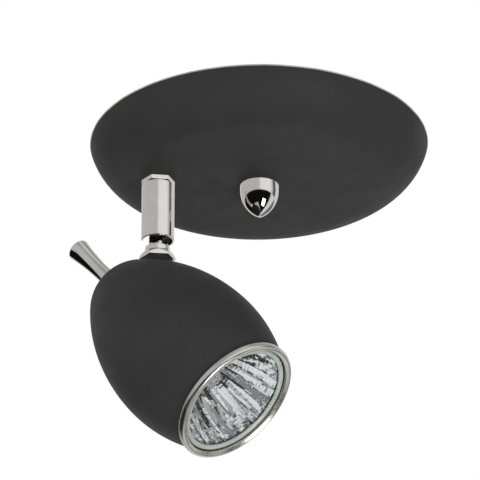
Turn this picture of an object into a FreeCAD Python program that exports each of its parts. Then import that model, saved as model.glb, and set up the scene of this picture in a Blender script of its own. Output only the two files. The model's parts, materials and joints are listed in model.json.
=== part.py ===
"""Adjustable ceiling spotlight with an egg-shaped shade on a slotted swivel arm.

Millimetres, +Z up. The origin is the centre of the ceiling face, and the light hangs below it.
Each piece is drawn in the frame of what carries it: the ceiling rose, the arm, the head or the
shade, whose own Z axis runs from its mouth to its pole.
"""
import FreeCAD, Part
import math
import os
from types import SimpleNamespace

import Sketcher

LENGTHS = {
    # ceiling rose
    "canopy_radius": 75.0,
    "canopy_depth": 19.1,
    "canopy_flat_radius": 52.5,
    "canopy_crown": 1.3,
    "canopy_wall": 0.8,
    # ceiling bracket and the centre fixing
    "bracket_length": 122.0,
    "bracket_width": 20.0,
    "bracket_metal": 1.5,
    "bracket_drop": 6.5,
    "bracket_centre_length": 30.0,
    "fixing_spacing": 66.0,
    "fixing_slot_length": 14.0,
    "fixing_slot_width": 4.5,
    "stud_radius": 2.5,
    "stud_proud": 1.0,
    "stud_nut_flats": 8.0,
    "stud_nut_height": 3.2,
    "cap_radius": 8.5,
    "cap_band": 2.2,
    "cap_height": 15.2,
    "cap_tip_radius": 2.4,
    "cap_thread_depth": 10.0,
    # mains terminals
    "block_length": 27.0,
    "block_width": 16.0,
    "block_height": 11.0,
    "block_from_centre": 52.0,
    "pole_pitch": 9.0,
    "pole_radius": 2.6,
    "pole_bore": 1.7,
    "pole_length": 13.0,
    "pole_depth": 4.4,
    "pole_screw_radius": 1.25,
    "pole_screw_spacing": 6.4,
    "block_screw_radius": 1.3,
    "block_screw_head": 2.2,
    "block_screw_head_height": 1.6,
    "block_screw_short_of_ceiling": 0.3,
    "earth_from_centre": 50.0,
    "earth_screw_radius": 2.0,
    "earth_screw_head": 3.7,
    "earth_screw_head_height": 2.4,
    "earth_screw_short_of_ceiling": 0.2,
    "earth_nut_flats": 7.0,
    "earth_nut_height": 3.2,
    "earth_washer_radius": 4.6,
    "earth_washer_height": 1.0,
    # swivel between rose and arm
    "arm_inside_flat": 7.8,
    "nipple_radius": 4.0,
    "nipple_bore": 2.8,
    "nipple_flange_radius": 5.0,
    "nipple_flange_height": 1.2,
    "nipple_proud": 0.9,
    "collar_flats": 12.8,
    "collar_height": 1.9,
    "swivel_nut_flats": 12.0,
    "swivel_nut_height": 3.0,
    "lock_washer_radius": 6.3,
    "lock_washer_height": 0.8,
    "pan_gap": 0.5,
    "pan_washer_radius": 4.55,
    "stop_pin_radius": 0.6,
    "stop_pin_from_axis": 5.25,
    "stop_groove_depth": 1.0,
    "stop_pin_end_gap": 0.2,
    # arm
    "sleeve_radius": 7.2,
    "sleeve_wall": 0.8,
    "sleeve_length": 26.9,
    "sleeve_edge": 0.35,
    "sleeve_slot_room": 0.35,
    "sleeve_slot_below_pivot": 1.2,
    "fork_roof": 3.0,
    "fork_cavity_depth": 4.4,
    "fork_wire_bore": 3.0,
    "fork_slot_above_tongue": 0.95,
    "fork_end_below_pivot": 3.9,
    "pivot_above_sleeve_end": 7.5,
    "pivot_radius": 1.5,
    "pivot_head_radius": 2.5,
    "pivot_head_height": 1.3,
    "pivot_length": 11.2,
    "tilt_washer_radius": 3.1,
    "tilt_washer_height": 0.75,
    # neck
    "neck_width": 6.5,
    "neck_chamfer": 0.9,
    "tongue_thickness": 5.0,
    "tongue_length": 4.6,
    "neck_square_end": 10.85,
    "neck_collar_radius": 5.45,
    "neck_collar_height": 2.5,
    "neck_collar_edge": 0.35,
    "neck_stub_radius": 4.0,
    "neck_bore": 2.2,
    "wire_exit_radius": 1.6,
    "wire_exit_below_pivot": 8.0,
    "neck_nut_flats": 13.7,
    "neck_nut_height": 3.1,
    "neck_nut_top_radius": 5.9,
    "neck_nut_rim": 1.0,
    "saddle_radius": 6.6,
    "saddle_height": 1.55,
    "inner_saddle_radius": 6.4,
    "inner_saddle_height": 3.0,
    "stub_nut_flats": 11.0,
    "stub_nut_height": 3.0,
    "stub_proud": 0.8,
    # shade, ring and lever
    "shade_mouth_radius": 27.15,
    "shade_radius": 34.0,
    "shade_front_length": 29.75,
    "shade_back_length": 58.0,
    "shade_nose_radius": 22.0,
    "shade_wall": 0.9,
    "neck_crossing": 54.2,
    "ring_radius": 28.6,
    "ring_bore": 25.7,
    "ring_height": 3.8,
    "ring_rear_round": 1.3,
    "ring_front_round": 1.7,
    "ring_slope_depth": 2.2,
    "ring_spigot_radius": 26.15,
    "ring_spigot_length": 4.0,
    "lever_length": 27.2,
    "lever_waist_radius": 3.5,
    "lever_waist_from_foot": 6.5,
    "lever_end_radius": 5.0,
    "lever_edge_round": 0.8,
    "lever_dome": 1.0,
    "lever_screw_radius": 2.0,
    "lever_screw_head": 3.6,
    "lever_screw_head_height": 2.2,
    "lever_screw_reach": 8.0,
    "lever_thread_depth": 9.0,
    # lampholder
    "holder_bracket_metal": 1.2,
    "holder_bracket_width": 13.0,
    "holder_bracket_inner_reach": 6.2,
    "holder_bracket_nut_gap": 0.4,
    "holder_bracket_far_reach": 14.0,
    "holder_gap": 0.3,
    "holder_radius": 12.5,
    "holder_plate": 4.3,
    "holder_chamber_depth": 5.0,
    "holder_chamber_radius": 8.6,
    "holder_cap_height": 4.0,
    "holder_edge": 0.8,
    "holder_wire_hole": 1.8,
    "holder_wire_from_axis": 6.0,
    "holder_screw_from_axis": 10.5,
    "holder_screw_radius": 1.25,
    "holder_screw_head": 2.4,
    "holder_screw_head_height": 1.7,
    "holder_screw_reach": 9.0,
    "contact_radius": 2.2,
    # lamp
    "lamp_radius": 25.3,
    "lamp_recess": 2.8,
    "lamp_glass": 1.8,
    "lamp_glass_bevel": 1.0,
    "lamp_flange": 2.8,
    "lamp_bowl_mouth": 23.0,
    "lamp_bowl_throat": 8.5,
    "lamp_bowl_depth": 30.0,
    "lamp_bowl_arc": 44.0,
    "lamp_back_mouth": 24.6,
    "lamp_back_throat": 10.9,
    "lamp_back_depth": 33.0,
    "lamp_length": 54.2,
    "lamp_base_radius": 10.2,
    "lamp_base_edge": 1.2,
    "pin_length": 6.8,
    "pin_from_axis": 5.0,
    "pin_radius": 1.55,
    "pin_head_radius": 2.5,
    "pin_head_height": 2.0,
    "pin_room": 0.35,
    "capsule_radius": 4.7,
    "capsule_wall": 0.8,
    "capsule_length": 17.0,
    "filament_wire": 0.35,
    "filament_coil": 0.7,
    "filament_span": 2.2,
    "filament_height": 10.0,
    # fits
    "thread_gap": 0.03,
    "running_gap": 0.05,
    "hole_gap": 0.25,
    "free_gap": 0.35,
    "cut_overrun": 2.0,
}

ANGLES = {
    "aim_azimuth_angle": -31.0,
    "aim_angle": 41.8,
    "collar_turn_angle": 3.0,
    "neck_nut_turn_angle": 33.0,
    "stub_nut_turn_angle": 30.0,
    "stop_groove_angle": 343.2,
    "lamp_twist_angle": 20.0,
}

HALF = 0.5
BRACKET_BEND_SHARE = math.tan(math.radians(22.5))


class Size:
    """A number together with the sheet expression that gives it."""

    def __init__(self, value, text):
        self.value = value
        self.text = text

    def __add__(self, other):
        return combine(self, "+", other, self.value + number(other))

    def __radd__(self, other):
        return combine(other, "+", self, number(other) + self.value)

    def __sub__(self, other):
        return combine(self, "-", other, self.value - number(other))

    def __rsub__(self, other):
        return combine(other, "-", self, number(other) - self.value)

    def __mul__(self, other):
        return combine(self, "*", other, self.value * number(other))

    def __rmul__(self, other):
        return combine(other, "*", self, number(other) * self.value)

    def __truediv__(self, other):
        return combine(self, "/", other, self.value / number(other))

    def __neg__(self):
        return Size(-self.value, "(-" + self.text + ")")


def number(item):
    """The plain number of a Size or a number."""
    return item.value if isinstance(item, Size) else float(item)


def wording(item):
    """The expression of a Size or a number."""
    return item.text if isinstance(item, Size) else repr(item)


def combine(left, sign, right, value):
    """A Size made of two others."""
    return Size(value, "(" + wording(left) + " " + sign + " " + wording(right) + ")")


def root(size):
    """Square root of a Size."""
    return Size(math.sqrt(size.value), "sqrt(" + size.text + ")")


def sine(angle):
    """Sine of an angle in degrees."""
    return Size(math.sin(math.radians(angle.value)), "sin(" + angle.text + " * 1deg)")


def cosine(angle):
    """Cosine of an angle in degrees."""
    return Size(math.cos(math.radians(angle.value)), "cos(" + angle.text + " * 1deg)")


doc = FreeCAD.newDocument("Spotlight")
sheet = doc.addObject("Spreadsheet::Sheet", "Sizes")
for row, (alias, value) in enumerate({**LENGTHS, **ANGLES}.items(), start=1):
    cell = "B%d" % row
    sheet.set("A%d" % row, alias)
    sheet.set(cell, repr(value))
    sheet.setAlias(cell, alias)
doc.recompute()

NAMES = {**LENGTHS, **ANGLES}
s = SimpleNamespace(**{alias: Size(value, "Sizes." + alias) for alias, value in NAMES.items()})

Vector = FreeCAD.Vector
Rotation = FreeCAD.Rotation
Placement = FreeCAD.Placement
nodes = []

class Frame:
    """Origin and axes given in Sizes, so that the place of every piece follows the sheet."""

    def __init__(self, base, x, y, z):
        self.base = base
        self.x = x
        self.y = y
        self.z = z

    def moved(self, x, y, z):
        """The same axes, with the origin moved along them."""
        base = list(self.base)
        for step, axis in ((x, self.x), (y, self.y), (z, self.z)):
            for index in range(3):
                if number(step) and number(axis[index]):
                    base[index] = base[index] + step * axis[index]
        return Frame(tuple(base), self.x, self.y, self.z)

    def place(self, item):
        """Put an object in this frame and tie its origin to the sheet."""
        axes = [Vector(*[number(part) for part in axis]) for axis in (self.x, self.y, self.z)]
        item.Placement = Placement(Vector(*[number(part) for part in self.base]),
                                   Rotation(*axes, "ZXY"))
        for name, part in zip("xyz", self.base):
            if isinstance(part, Size):
                item.setExpression("Placement.Base." + name, part.text)


def member(label, frame):
    """A body that is one of a group of like pieces, or a tool for a cut."""
    made = doc.addObject("PartDesign::Body", label)
    made.Label = label
    frame.place(made)
    return made


def body(label, frame):
    """A new body, kept as a node."""
    made = member(label, frame)
    nodes.append(made)
    return made


def group(label, members):
    """Like pieces that share one node."""
    made = doc.addObject("Part::Compound", label)
    made.Label = label
    made.Links = members
    nodes.append(made)
    return made


def bind(item, name, size):
    """Set a property to a Size and tie it to the sheet."""
    setattr(item, name, size.value)
    item.setExpression(name, size.text)


def sketch(owner, role, lift=None, turn=0.0):
    """A sketch on one of its body's own origin planes, lifted off it or turned in it."""
    made = owner.newObject("Sketcher::SketchObject", owner.Name + "_sketch")
    plane = [item for item in owner.Origin.OriginFeatures if item.Role == role][0]
    made.AttachmentSupport = [(plane, "")]
    made.MapMode = "FlatFace"
    height = lift.value if lift is not None else 0.0
    made.AttachmentOffset = Placement(Vector(0, 0, height), Rotation(Vector(0, 0, 1), turn))
    if lift is not None:
        made.setExpression("AttachmentOffset.Base.z", lift.text)
    return made


def dimension(made, kind, size, *where):
    """A driving dimension tied to the sheet."""
    index = made.addConstraint(Sketcher.Constraint(kind, *where, size.value))
    made.setExpression("Constraints[%d]" % index, size.text)


def pin_point(made, geometry, end, x, y):
    """Fix one point of the sketch at x, y."""
    for kind, place in (("DistanceX", x), ("DistanceY", y)):
        if isinstance(place, Size):
            dimension(made, kind, place, -1, 1, geometry, end)
        else:
            made.addConstraint(Sketcher.Constraint(kind, -1, 1, geometry, end, float(place)))


def arc_between(start, end, radius, left):
    """The short arc from start to end, its centre to the left or right of the way."""
    chord = end.sub(start)
    middle = start.add(end).multiply(HALF)
    rise = math.sqrt(max(radius ** 2 - (chord.Length / 2) ** 2, 0.0))
    side = Vector(-chord.y, chord.x, 0).normalize().multiply(rise if left else -rise)
    centre = middle.add(side)
    first, last = (start, end) if left else (end, start)
    angles = [math.atan2(point.y - centre.y, point.x - centre.x) for point in (first, last)]
    return Part.ArcOfCircle(Part.Circle(centre, Vector(0, 0, 1), radius), *angles)


def outline(made, corners):
    """A closed outline. A corner is (x, y), or (x, y, radius, side) where an arc starts there
    whose centre lies on that side of the way round."""
    points = [Vector(number(corner[0]), number(corner[1]), 0) for corner in corners]
    first = made.GeometryCount
    count = len(corners)
    starts = []
    ends = []
    for index, corner in enumerate(corners):
        start = points[index]
        end = points[(index + 1) % count]
        if len(corner) == 2:
            made.addGeometry(Part.LineSegment(start, end), False)
            starts.append(1)
            ends.append(2)
        else:
            left = corner[3] == "left"
            made.addGeometry(arc_between(start, end, number(corner[2]), left), False)
            starts.append(1 if left else 2)
            ends.append(2 if left else 1)
    for index, corner in enumerate(corners):
        here = first + index
        following = (index + 1) % count
        made.addConstraint(
            Sketcher.Constraint("Coincident", here, ends[index], first + following, starts[following]))
        pin_point(made, here, starts[index], corner[0], corner[1])
    for index, corner in enumerate(corners):
        if len(corner) > 2:
            dimension(made, "Radius", corner[2], first + index)


def circle(made, x, y, radius):
    """A full circle."""
    middle = Vector(number(x), number(y), 0)
    index = made.addGeometry(Part.Circle(middle, Vector(0, 0, 1), radius.value), False)
    pin_point(made, index, 3, x, y)
    dimension(made, "Radius", radius, index)


def rectangle(made, low_x, low_y, high_x, high_y):
    """A rectangle given by two corners."""
    outline(made, [(low_x, low_y), (high_x, low_y), (high_x, high_y), (low_x, high_y)])


def hexagon(made, flats):
    """A hexagon round the origin, with corners on the X axis."""
    corner = flats / math.sqrt(3)
    outline(made, [(corner, 0), (corner / 2, flats / 2), (-corner / 2, flats / 2),
                   (-corner, 0), (-corner / 2, -flats / 2), (corner / 2, -flats / 2)])


def feature(owner, kind, profile):
    """A feature on a profile, made the tip of its body."""
    made = owner.newObject("PartDesign::" + kind, owner.Name + "_" + kind.lower())
    made.Profile = profile
    owner.Tip = made
    return made


def turn(owner, corners, kind="Revolution"):
    """Revolve an outline of (radius, height) round the Z axis, or groove it away."""
    profile = sketch(owner, "XZ_Plane")
    outline(profile, corners)
    made = feature(owner, kind, profile)
    made.ReferenceAxis = (profile, ["V_Axis"])
    made.Angle = 360.0
    return made


def extrude(owner, profile, length, kind="Pad", side="One side", reverse=False):
    """Pad a profile, or pocket it away."""
    made = feature(owner, kind, profile)
    made.Type = "Length"
    made.SideType = side
    made.Reversed = reverse
    bind(made, "Length", length)
    return made


def drill(owner, radius, low, high, x=0, y=0):
    """A round hole along Z between two heights."""
    profile = sketch(owner, "XY_Plane", high)
    circle(profile, x, y, radius)
    return extrude(owner, profile, high - low, kind="Pocket")


def hex_ring(owner, flats, bottom, height, bore, turned=0.0):
    """A plain hexagon nut with its bottom face at a height."""
    profile = sketch(owner, "XY_Plane", bottom, turned)
    hexagon(profile, flats)
    circle(profile, 0, 0, bore)
    extrude(owner, profile, height)


def plate(owner, outer, bore, bottom, height):
    """A flat washer."""
    turn(owner, [(bore, bottom), (outer, bottom), (outer, bottom + height), (bore, bottom + height)])


def slot(made, y, length, width):
    """A slot with round ends along Y, centred at a height in the sketch."""
    half = width / 2
    reach = (length - width) / 2
    outline(made, [(half, y - reach), (half, y + reach, half, "left"),
                   (0, y + reach + half, half, "left"), (-half, y + reach),
                   (-half, y - reach, half, "left"), (0, y - reach - half, half, "left")])


def pan_screw(owner, radius, head, head_height, tip, seat):
    """A slotted screw whose head lies below its seat and whose tip points up."""
    low = seat - head_height
    edge = head_height / 2
    turn(owner, [(0, low), (head - edge, low, edge, "left"), (head, low + edge), (head, seat),
                 (radius, seat), (radius, tip - radius / 2), (radius / 2, tip), (0, tip)])
    profile = sketch(owner, "XY_Plane", low)
    rectangle(profile, -head * 2, -head / 6, head * 2, head / 6)
    extrude(owner, profile, edge, kind="Pocket", reverse=True)


def down_screw(owner, radius, head, head_height, tip, seat):
    """A slotted screw whose head lies above its seat and whose tip points down."""
    high = seat + head_height
    edge = head_height / 2
    turn(owner, [(0, tip), (radius / 2, tip), (radius, tip + radius / 2), (radius, seat), (head, seat),
                 (head, high - edge, edge, "left"), (head - edge, high), (0, high)])
    profile = sketch(owner, "XY_Plane", high)
    rectangle(profile, -head * 2, -head / 6, head * 2, head / 6)
    extrude(owner, profile, edge, kind="Pocket")


# Rose: one gently crowned arc and one shoulder arc that runs into it, both measured from the axis.
crown_arc = ((s.canopy_flat_radius * s.canopy_flat_radius + s.canopy_crown * s.canopy_crown)
             / (s.canopy_crown * 2))
crown_centre = crown_arc - s.canopy_depth
shoulder_width = s.canopy_radius - s.canopy_flat_radius
shoulder_depth = s.canopy_depth - s.canopy_crown
shoulder_arc = ((shoulder_width * shoulder_width + shoulder_depth * shoulder_depth) * crown_arc
                / (((crown_arc - s.canopy_crown) * shoulder_depth
                    - s.canopy_flat_radius * shoulder_width) * 2))
shoulder_x = s.canopy_flat_radius - shoulder_arc * s.canopy_flat_radius / crown_arc
shoulder_z = -shoulder_depth + shoulder_arc * (crown_arc - s.canopy_crown) / crown_arc


def crown_skin(radius):
    """Height of the rose's outer skin on its crown, at a radius."""
    return crown_centre - root(crown_arc * crown_arc - radius * radius)


def crown_lining(radius):
    """Height of the rose's inner face on its crown, at a radius."""
    arc = crown_arc - s.canopy_wall
    return crown_centre - root(arc * arc - radius * radius)


# Heights down the swivel, which stands inside the edge of the rose's flat. The collar bears on the
# crown at its innermost corner, and the washer and nut inside bear where the crown is highest.
arm_from_centre = s.canopy_flat_radius - s.arm_inside_flat
collar_top = crown_skin(arm_from_centre - s.collar_flats / math.sqrt(3))
collar_bottom = collar_top - s.collar_height
sleeve_top = collar_bottom - s.pan_gap
fork_top = sleeve_top - s.sleeve_wall
flange_top = fork_top - s.fork_roof - s.running_gap
swivel_seat = crown_lining(arm_from_centre + s.lock_washer_radius)
swivel_nut_top = swivel_seat + s.lock_washer_height + s.swivel_nut_height
sleeve_bottom = sleeve_top - s.sleeve_length
pivot_height = sleeve_bottom + s.pivot_above_sleeve_end

# Heights down the neck, measured from the pivot.
collar_end = -s.neck_square_end - s.neck_collar_height
nut_end = collar_end - s.neck_nut_height
skin_depth = nut_end - s.saddle_height

# Shade profile: two side arcs that meet square to the widest circle, and a rounded pole.
front_arc = ((s.shade_front_length * s.shade_front_length
              + (s.shade_radius - s.shade_mouth_radius) * (s.shade_radius - s.shade_mouth_radius))
             / ((s.shade_radius - s.shade_mouth_radius) * 2))
nose_centre = s.shade_front_length + s.shade_back_length - s.shade_nose_radius
back_run = s.shade_back_length - s.shade_nose_radius
back_arc = ((s.shade_radius * s.shade_radius + back_run * back_run
             - s.shade_nose_radius * s.shade_nose_radius)
            / ((s.shade_radius - s.shade_nose_radius) * 2))
back_offset = back_arc - s.shade_radius
nose_share = back_offset / (back_arc - s.shade_nose_radius)

# How far the neck's axis runs from the shade's axis out to its skin, and to its lining.
lean = sine(s.aim_angle)
upright = cosine(s.aim_angle)
behind_widest = s.neck_crossing - s.shade_front_length
slant = back_offset * lean + behind_widest * upright


def crossing_to(arc):
    """Distance along the neck's axis from the shade's axis to the back arc's surface."""
    return root(slant * slant - (back_offset * back_offset + behind_widest * behind_widest
                                 - arc * arc)) - slant


skin_reach = crossing_to(back_arc)
lining_reach = crossing_to(back_arc - s.shade_wall)
lining_depth = skin_depth - (skin_reach - lining_reach)
inner_saddle_end = lining_depth - s.inner_saddle_height
bracket_leg_end = inner_saddle_end - s.holder_bracket_metal
stub_nut_end = bracket_leg_end - s.stub_nut_height

# Stack along the shade's axis, from the lamp's glass back to the lampholder.
lamp_front = -s.ring_height + s.lamp_recess
glass_back = lamp_front + s.lamp_glass
lamp_end = lamp_front + s.lamp_length
lamp_base_end = lamp_end - s.pin_length
bowl_throat = glass_back + s.lamp_bowl_depth
back_throat = glass_back + s.lamp_back_depth
holder_front = lamp_base_end + s.holder_gap
chamber_front = holder_front + s.holder_plate
holder_back = chamber_front + s.holder_chamber_depth
holder_cap_back = holder_back + s.holder_cap_height
bracket_back = holder_cap_back + s.holder_bracket_metal

# Frames: the rose's own, the swivel's, the head's and the shade's.
azimuth_cos = cosine(s.aim_azimuth_angle)
azimuth_sin = sine(s.aim_azimuth_angle)
ROSE = Frame((0, 0, 0), (1, 0, 0), (0, 1, 0), (0, 0, 1))
SWIVEL = ROSE.moved(-arm_from_centre, 0, 0)
HEAD = Frame(SWIVEL.moved(0, 0, pivot_height).base, (azimuth_cos, azimuth_sin, 0),
             (-azimuth_sin, azimuth_cos, 0), (0, 0, 1))
SHADE = Frame(HEAD.moved(lean * s.neck_crossing, 0,
                         skin_depth - skin_reach - upright * s.neck_crossing).base,
              (upright * azimuth_cos, upright * azimuth_sin, lean),
              (-azimuth_sin, azimuth_cos, 0),
              (-lean * azimuth_cos, -lean * azimuth_sin, upright))
ARM = Frame(HEAD.base, HEAD.x, HEAD.y, HEAD.z)


# Ceiling rose
def canopy_shell():
    """Spun dish with a hole for the centre stud and one for the swivel."""
    made = body("canopy_shell", ROSE)
    hole = s.stud_radius + s.hole_gap
    wall = s.canopy_wall
    inner_flat = s.canopy_flat_radius * (crown_arc - wall) / crown_arc
    inner_shoulder = shoulder_arc - wall
    inner_rim = shoulder_x + root(inner_shoulder * inner_shoulder - shoulder_z * shoulder_z)
    turn(made, [(hole, crown_skin(hole), crown_arc, "left"),
                (s.canopy_flat_radius, -shoulder_depth, shoulder_arc, "left"),
                (s.canopy_radius, 0),
                (inner_rim, 0, inner_shoulder, "right"),
                (inner_flat, crown_lining(inner_flat), crown_arc - wall, "right"),
                (hole, crown_lining(hole))])
    drill(made, s.nipple_radius + s.hole_gap, -s.canopy_depth - s.cut_overrun,
          -s.canopy_depth + s.canopy_wall + s.cut_overrun, x=-arm_from_centre)


def ceiling_bracket():
    """Pressed strap: two slotted feet on the ceiling and a lowered centre for the stud."""
    made = body("ceiling_bracket", ROSE)
    profile = sketch(made, "YZ_Plane")
    end = s.bracket_length / 2
    knee = s.bracket_centre_length / 2
    top = knee + s.bracket_drop
    bend = s.bracket_metal * BRACKET_BEND_SHARE
    low = -s.bracket_drop - s.bracket_metal
    outline(profile, [(-end, 0), (-end, -s.bracket_metal), (-top - bend, -s.bracket_metal),
                      (-knee - bend, low), (knee + bend, low), (top + bend, -s.bracket_metal),
                      (end, -s.bracket_metal), (end, 0), (top, 0), (knee, -s.bracket_drop),
                      (-knee, -s.bracket_drop), (-top, 0)])
    extrude(made, profile, s.bracket_width, side="Symmetric")
    holes = sketch(made, "XY_Plane", s.cut_overrun)
    circle(holes, 0, 0, s.stud_radius + s.hole_gap)
    circle(holes, 0, -s.earth_from_centre, s.earth_screw_radius + s.thread_gap)
    for side in (-1, 1):
        circle(holes, s.pole_pitch / 2 * side, s.block_from_centre, s.block_screw_radius + s.thread_gap)
        slot(holes, s.fixing_spacing / 2 * side, s.fixing_slot_length, s.fixing_slot_width)
    extrude(made, holes, s.cut_overrun * 2 + s.bracket_drop + s.bracket_metal, kind="Pocket")


def centre_fixing():
    """The threaded stud, its two nuts and the pointed cap nut that holds the rose up."""
    stud_top = -s.bracket_drop + s.stud_nut_height + s.stud_proud
    made = body("centre_stud", ROSE)
    stud_bottom = -s.canopy_depth - s.cap_thread_depth + s.stud_proud
    edge = s.stud_radius / 5
    turn(made, [(0, stud_bottom), (s.stud_radius - edge, stud_bottom),
                (s.stud_radius, stud_bottom + edge), (s.stud_radius, stud_top - edge),
                (s.stud_radius - edge, stud_top), (0, stud_top)])
    bore = s.stud_radius + s.thread_gap
    under = -s.bracket_drop - s.bracket_metal - s.stud_nut_height
    nuts = []
    for index, bottom in enumerate((under, -s.bracket_drop)):
        nut = member("stud_nut_%d" % index, ROSE)
        hex_ring(nut, s.stud_nut_flats, bottom, s.stud_nut_height, bore)
        nuts.append(nut)
    group("stud_nuts", nuts)
    cap = body("cap_nut", ROSE)
    rise = s.cap_height - s.cap_band
    run = rise - s.cap_tip_radius
    side_arc = ((s.cap_radius * s.cap_radius + run * run - s.cap_tip_radius * s.cap_tip_radius)
                / ((s.cap_radius - s.cap_tip_radius) * 2))
    offset = side_arc - s.cap_radius
    share = offset / (side_arc - s.cap_tip_radius)
    band = -s.canopy_depth - s.cap_band
    tip = -s.canopy_depth - s.cap_height
    turn(cap, [(0, tip, s.cap_tip_radius, "left"),
               (side_arc * share - offset, band - side_arc * run / (side_arc - s.cap_tip_radius),
                side_arc, "left"),
               (s.cap_radius, band), (s.cap_radius, -s.canopy_depth), (bore, -s.canopy_depth),
               (bore, -s.canopy_depth - s.cap_thread_depth),
               (0, -s.canopy_depth - s.cap_thread_depth)])


def terminals():
    """Three-pole terminal block on the bracket, and the earth point at its other end."""
    top = -s.bracket_metal
    floor = top - s.block_height
    axis = top - s.pole_depth
    block = body("terminal_block", ROSE)
    profile = sketch(block, "XY_Plane", top)
    rectangle(profile, -s.block_length / 2, s.block_from_centre - s.block_width / 2,
              s.block_length / 2, s.block_from_centre + s.block_width / 2)
    extrude(block, profile, s.block_height, reverse=True)
    bores = sketch(block, "XZ_Plane")
    for place in (-1, 0, 1):
        circle(bores, s.pole_pitch * place, axis, s.pole_radius + s.running_gap)
    bored = feature(block, "Pocket", bores)
    bored.Type = "ThroughAll"
    bored.SideType = "Two sides"
    bored.Type2 = "ThroughAll"
    holes = sketch(block, "XY_Plane", floor)
    for side in (-1, 1):
        circle(holes, s.pole_pitch / 2 * side, s.block_from_centre, s.block_screw_radius + s.hole_gap)
        for place in (-1, 0, 1):
            circle(holes, s.pole_pitch * place, s.block_from_centre + s.pole_screw_spacing / 2 * side,
                   s.pole_screw_radius + s.hole_gap)
    extrude(block, holes, s.block_height - s.pole_depth, kind="Pocket", reverse=True)
    through = sketch(block, "XY_Plane", top)
    for side in (-1, 1):
        circle(through, s.pole_pitch / 2 * side, s.block_from_centre, s.block_screw_radius + s.hole_gap)
    extrude(block, through, s.pole_depth + s.running_gap, kind="Pocket")
    sleeves = []
    screws = []
    for place in (-1, 0, 1):
        spot = ROSE.moved(s.pole_pitch * place, s.block_from_centre, axis)
        sleeve = member("terminal_sleeve_%d" % (place + 1), spot)
        ring = sketch(sleeve, "XZ_Plane")
        circle(ring, 0, 0, s.pole_radius)
        circle(ring, 0, 0, s.pole_bore)
        extrude(sleeve, ring, s.pole_length, side="Symmetric")
        taps = sketch(sleeve, "XY_Plane", -s.pole_radius - s.cut_overrun)
        for side in (-1, 1):
            circle(taps, 0, s.pole_screw_spacing / 2 * side, s.pole_screw_radius + s.thread_gap)
        extrude(sleeve, taps, s.pole_radius + s.cut_overrun, kind="Pocket", reverse=True)
        sleeves.append(sleeve)
        for side in (-1, 1):
            number_of = len(screws)
            screw = member("terminal_screw_%d" % number_of,
                           spot.moved(0, s.pole_screw_spacing / 2 * side, 0))
            foot = floor - axis + s.running_gap * 2
            turn(screw, [(0, foot), (s.pole_screw_radius, foot),
                         (s.pole_screw_radius, -s.pole_bore + s.running_gap * 4),
                         (0, -s.pole_bore + s.pole_screw_radius)])
            cut = sketch(screw, "XY_Plane", foot)
            rectangle(cut, -s.pole_screw_radius * 2, -s.pole_screw_radius / 5,
                      s.pole_screw_radius * 2, s.pole_screw_radius / 5)
            extrude(screw, cut, s.pole_screw_radius, kind="Pocket", reverse=True)
            screws.append(screw)
    group("terminal_sleeves", sleeves)
    group("terminal_screws", screws)
    fixings = []
    for side in (-1, 1):
        screw = member("block_screw_%d" % (side + 1),
                       ROSE.moved(s.pole_pitch / 2 * side, s.block_from_centre, 0))
        pan_screw(screw, s.block_screw_radius, s.block_screw_head, s.block_screw_head_height,
                  -s.block_screw_short_of_ceiling, floor)
        fixings.append(screw)
    group("block_screws", fixings)
    spot = ROSE.moved(0, -s.earth_from_centre, 0)
    nut = body("earth_nut", spot)
    hex_ring(nut, s.earth_nut_flats, top - s.earth_nut_height, s.earth_nut_height,
             s.earth_screw_radius + s.thread_gap)
    washer = body("earth_washer", spot)
    seat = top - s.earth_nut_height
    plate(washer, s.earth_washer_radius, s.earth_screw_radius + s.hole_gap,
          seat - s.earth_washer_height, s.earth_washer_height)
    screw = body("earth_screw", spot)
    pan_screw(screw, s.earth_screw_radius, s.earth_screw_head, s.earth_screw_head_height,
              -s.earth_screw_short_of_ceiling, seat - s.earth_washer_height)


# Swivel
def swivel():
    """Hollow nipple that carries the arm, its collar, washers and nut."""
    nipple = body("swivel_nipple", SWIVEL)
    flange_bottom = flange_top - s.nipple_flange_height
    turn(nipple, [(s.nipple_bore, flange_bottom), (s.nipple_flange_radius, flange_bottom),
                  (s.nipple_flange_radius, flange_top), (s.nipple_radius, flange_top),
                  (s.nipple_radius, swivel_nut_top + s.nipple_proud),
                  (s.nipple_bore, swivel_nut_top + s.nipple_proud)])
    thread = s.nipple_radius + s.thread_gap
    collar = body("swivel_collar", SWIVEL)
    hex_ring(collar, s.collar_flats, collar_bottom, s.collar_height, thread,
             turned=ANGLES["collar_turn_angle"])
    groove = sketch(collar, "XZ_Plane")
    half = s.stop_pin_radius + s.running_gap
    rectangle(groove, s.stop_pin_from_axis - half, collar_bottom - s.cut_overrun,
              s.stop_pin_from_axis + half, collar_bottom + s.stop_groove_depth)
    track = feature(collar, "Groove", groove)
    track.ReferenceAxis = (groove, ["V_Axis"])
    track.Midplane = True
    bind(track, "Angle", s.stop_groove_angle)
    washer = body("swivel_lock_washer", SWIVEL)
    plate(washer, s.lock_washer_radius, s.nipple_radius + s.hole_gap, swivel_seat,
          s.lock_washer_height)
    nut = body("swivel_nut", SWIVEL)
    hex_ring(nut, s.swivel_nut_flats, swivel_seat + s.lock_washer_height, s.swivel_nut_height, thread)
    gap = body("swivel_washer", SWIVEL)
    plate(gap, s.pan_washer_radius, s.nipple_radius + s.running_gap, sleeve_top, s.pan_gap)


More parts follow.
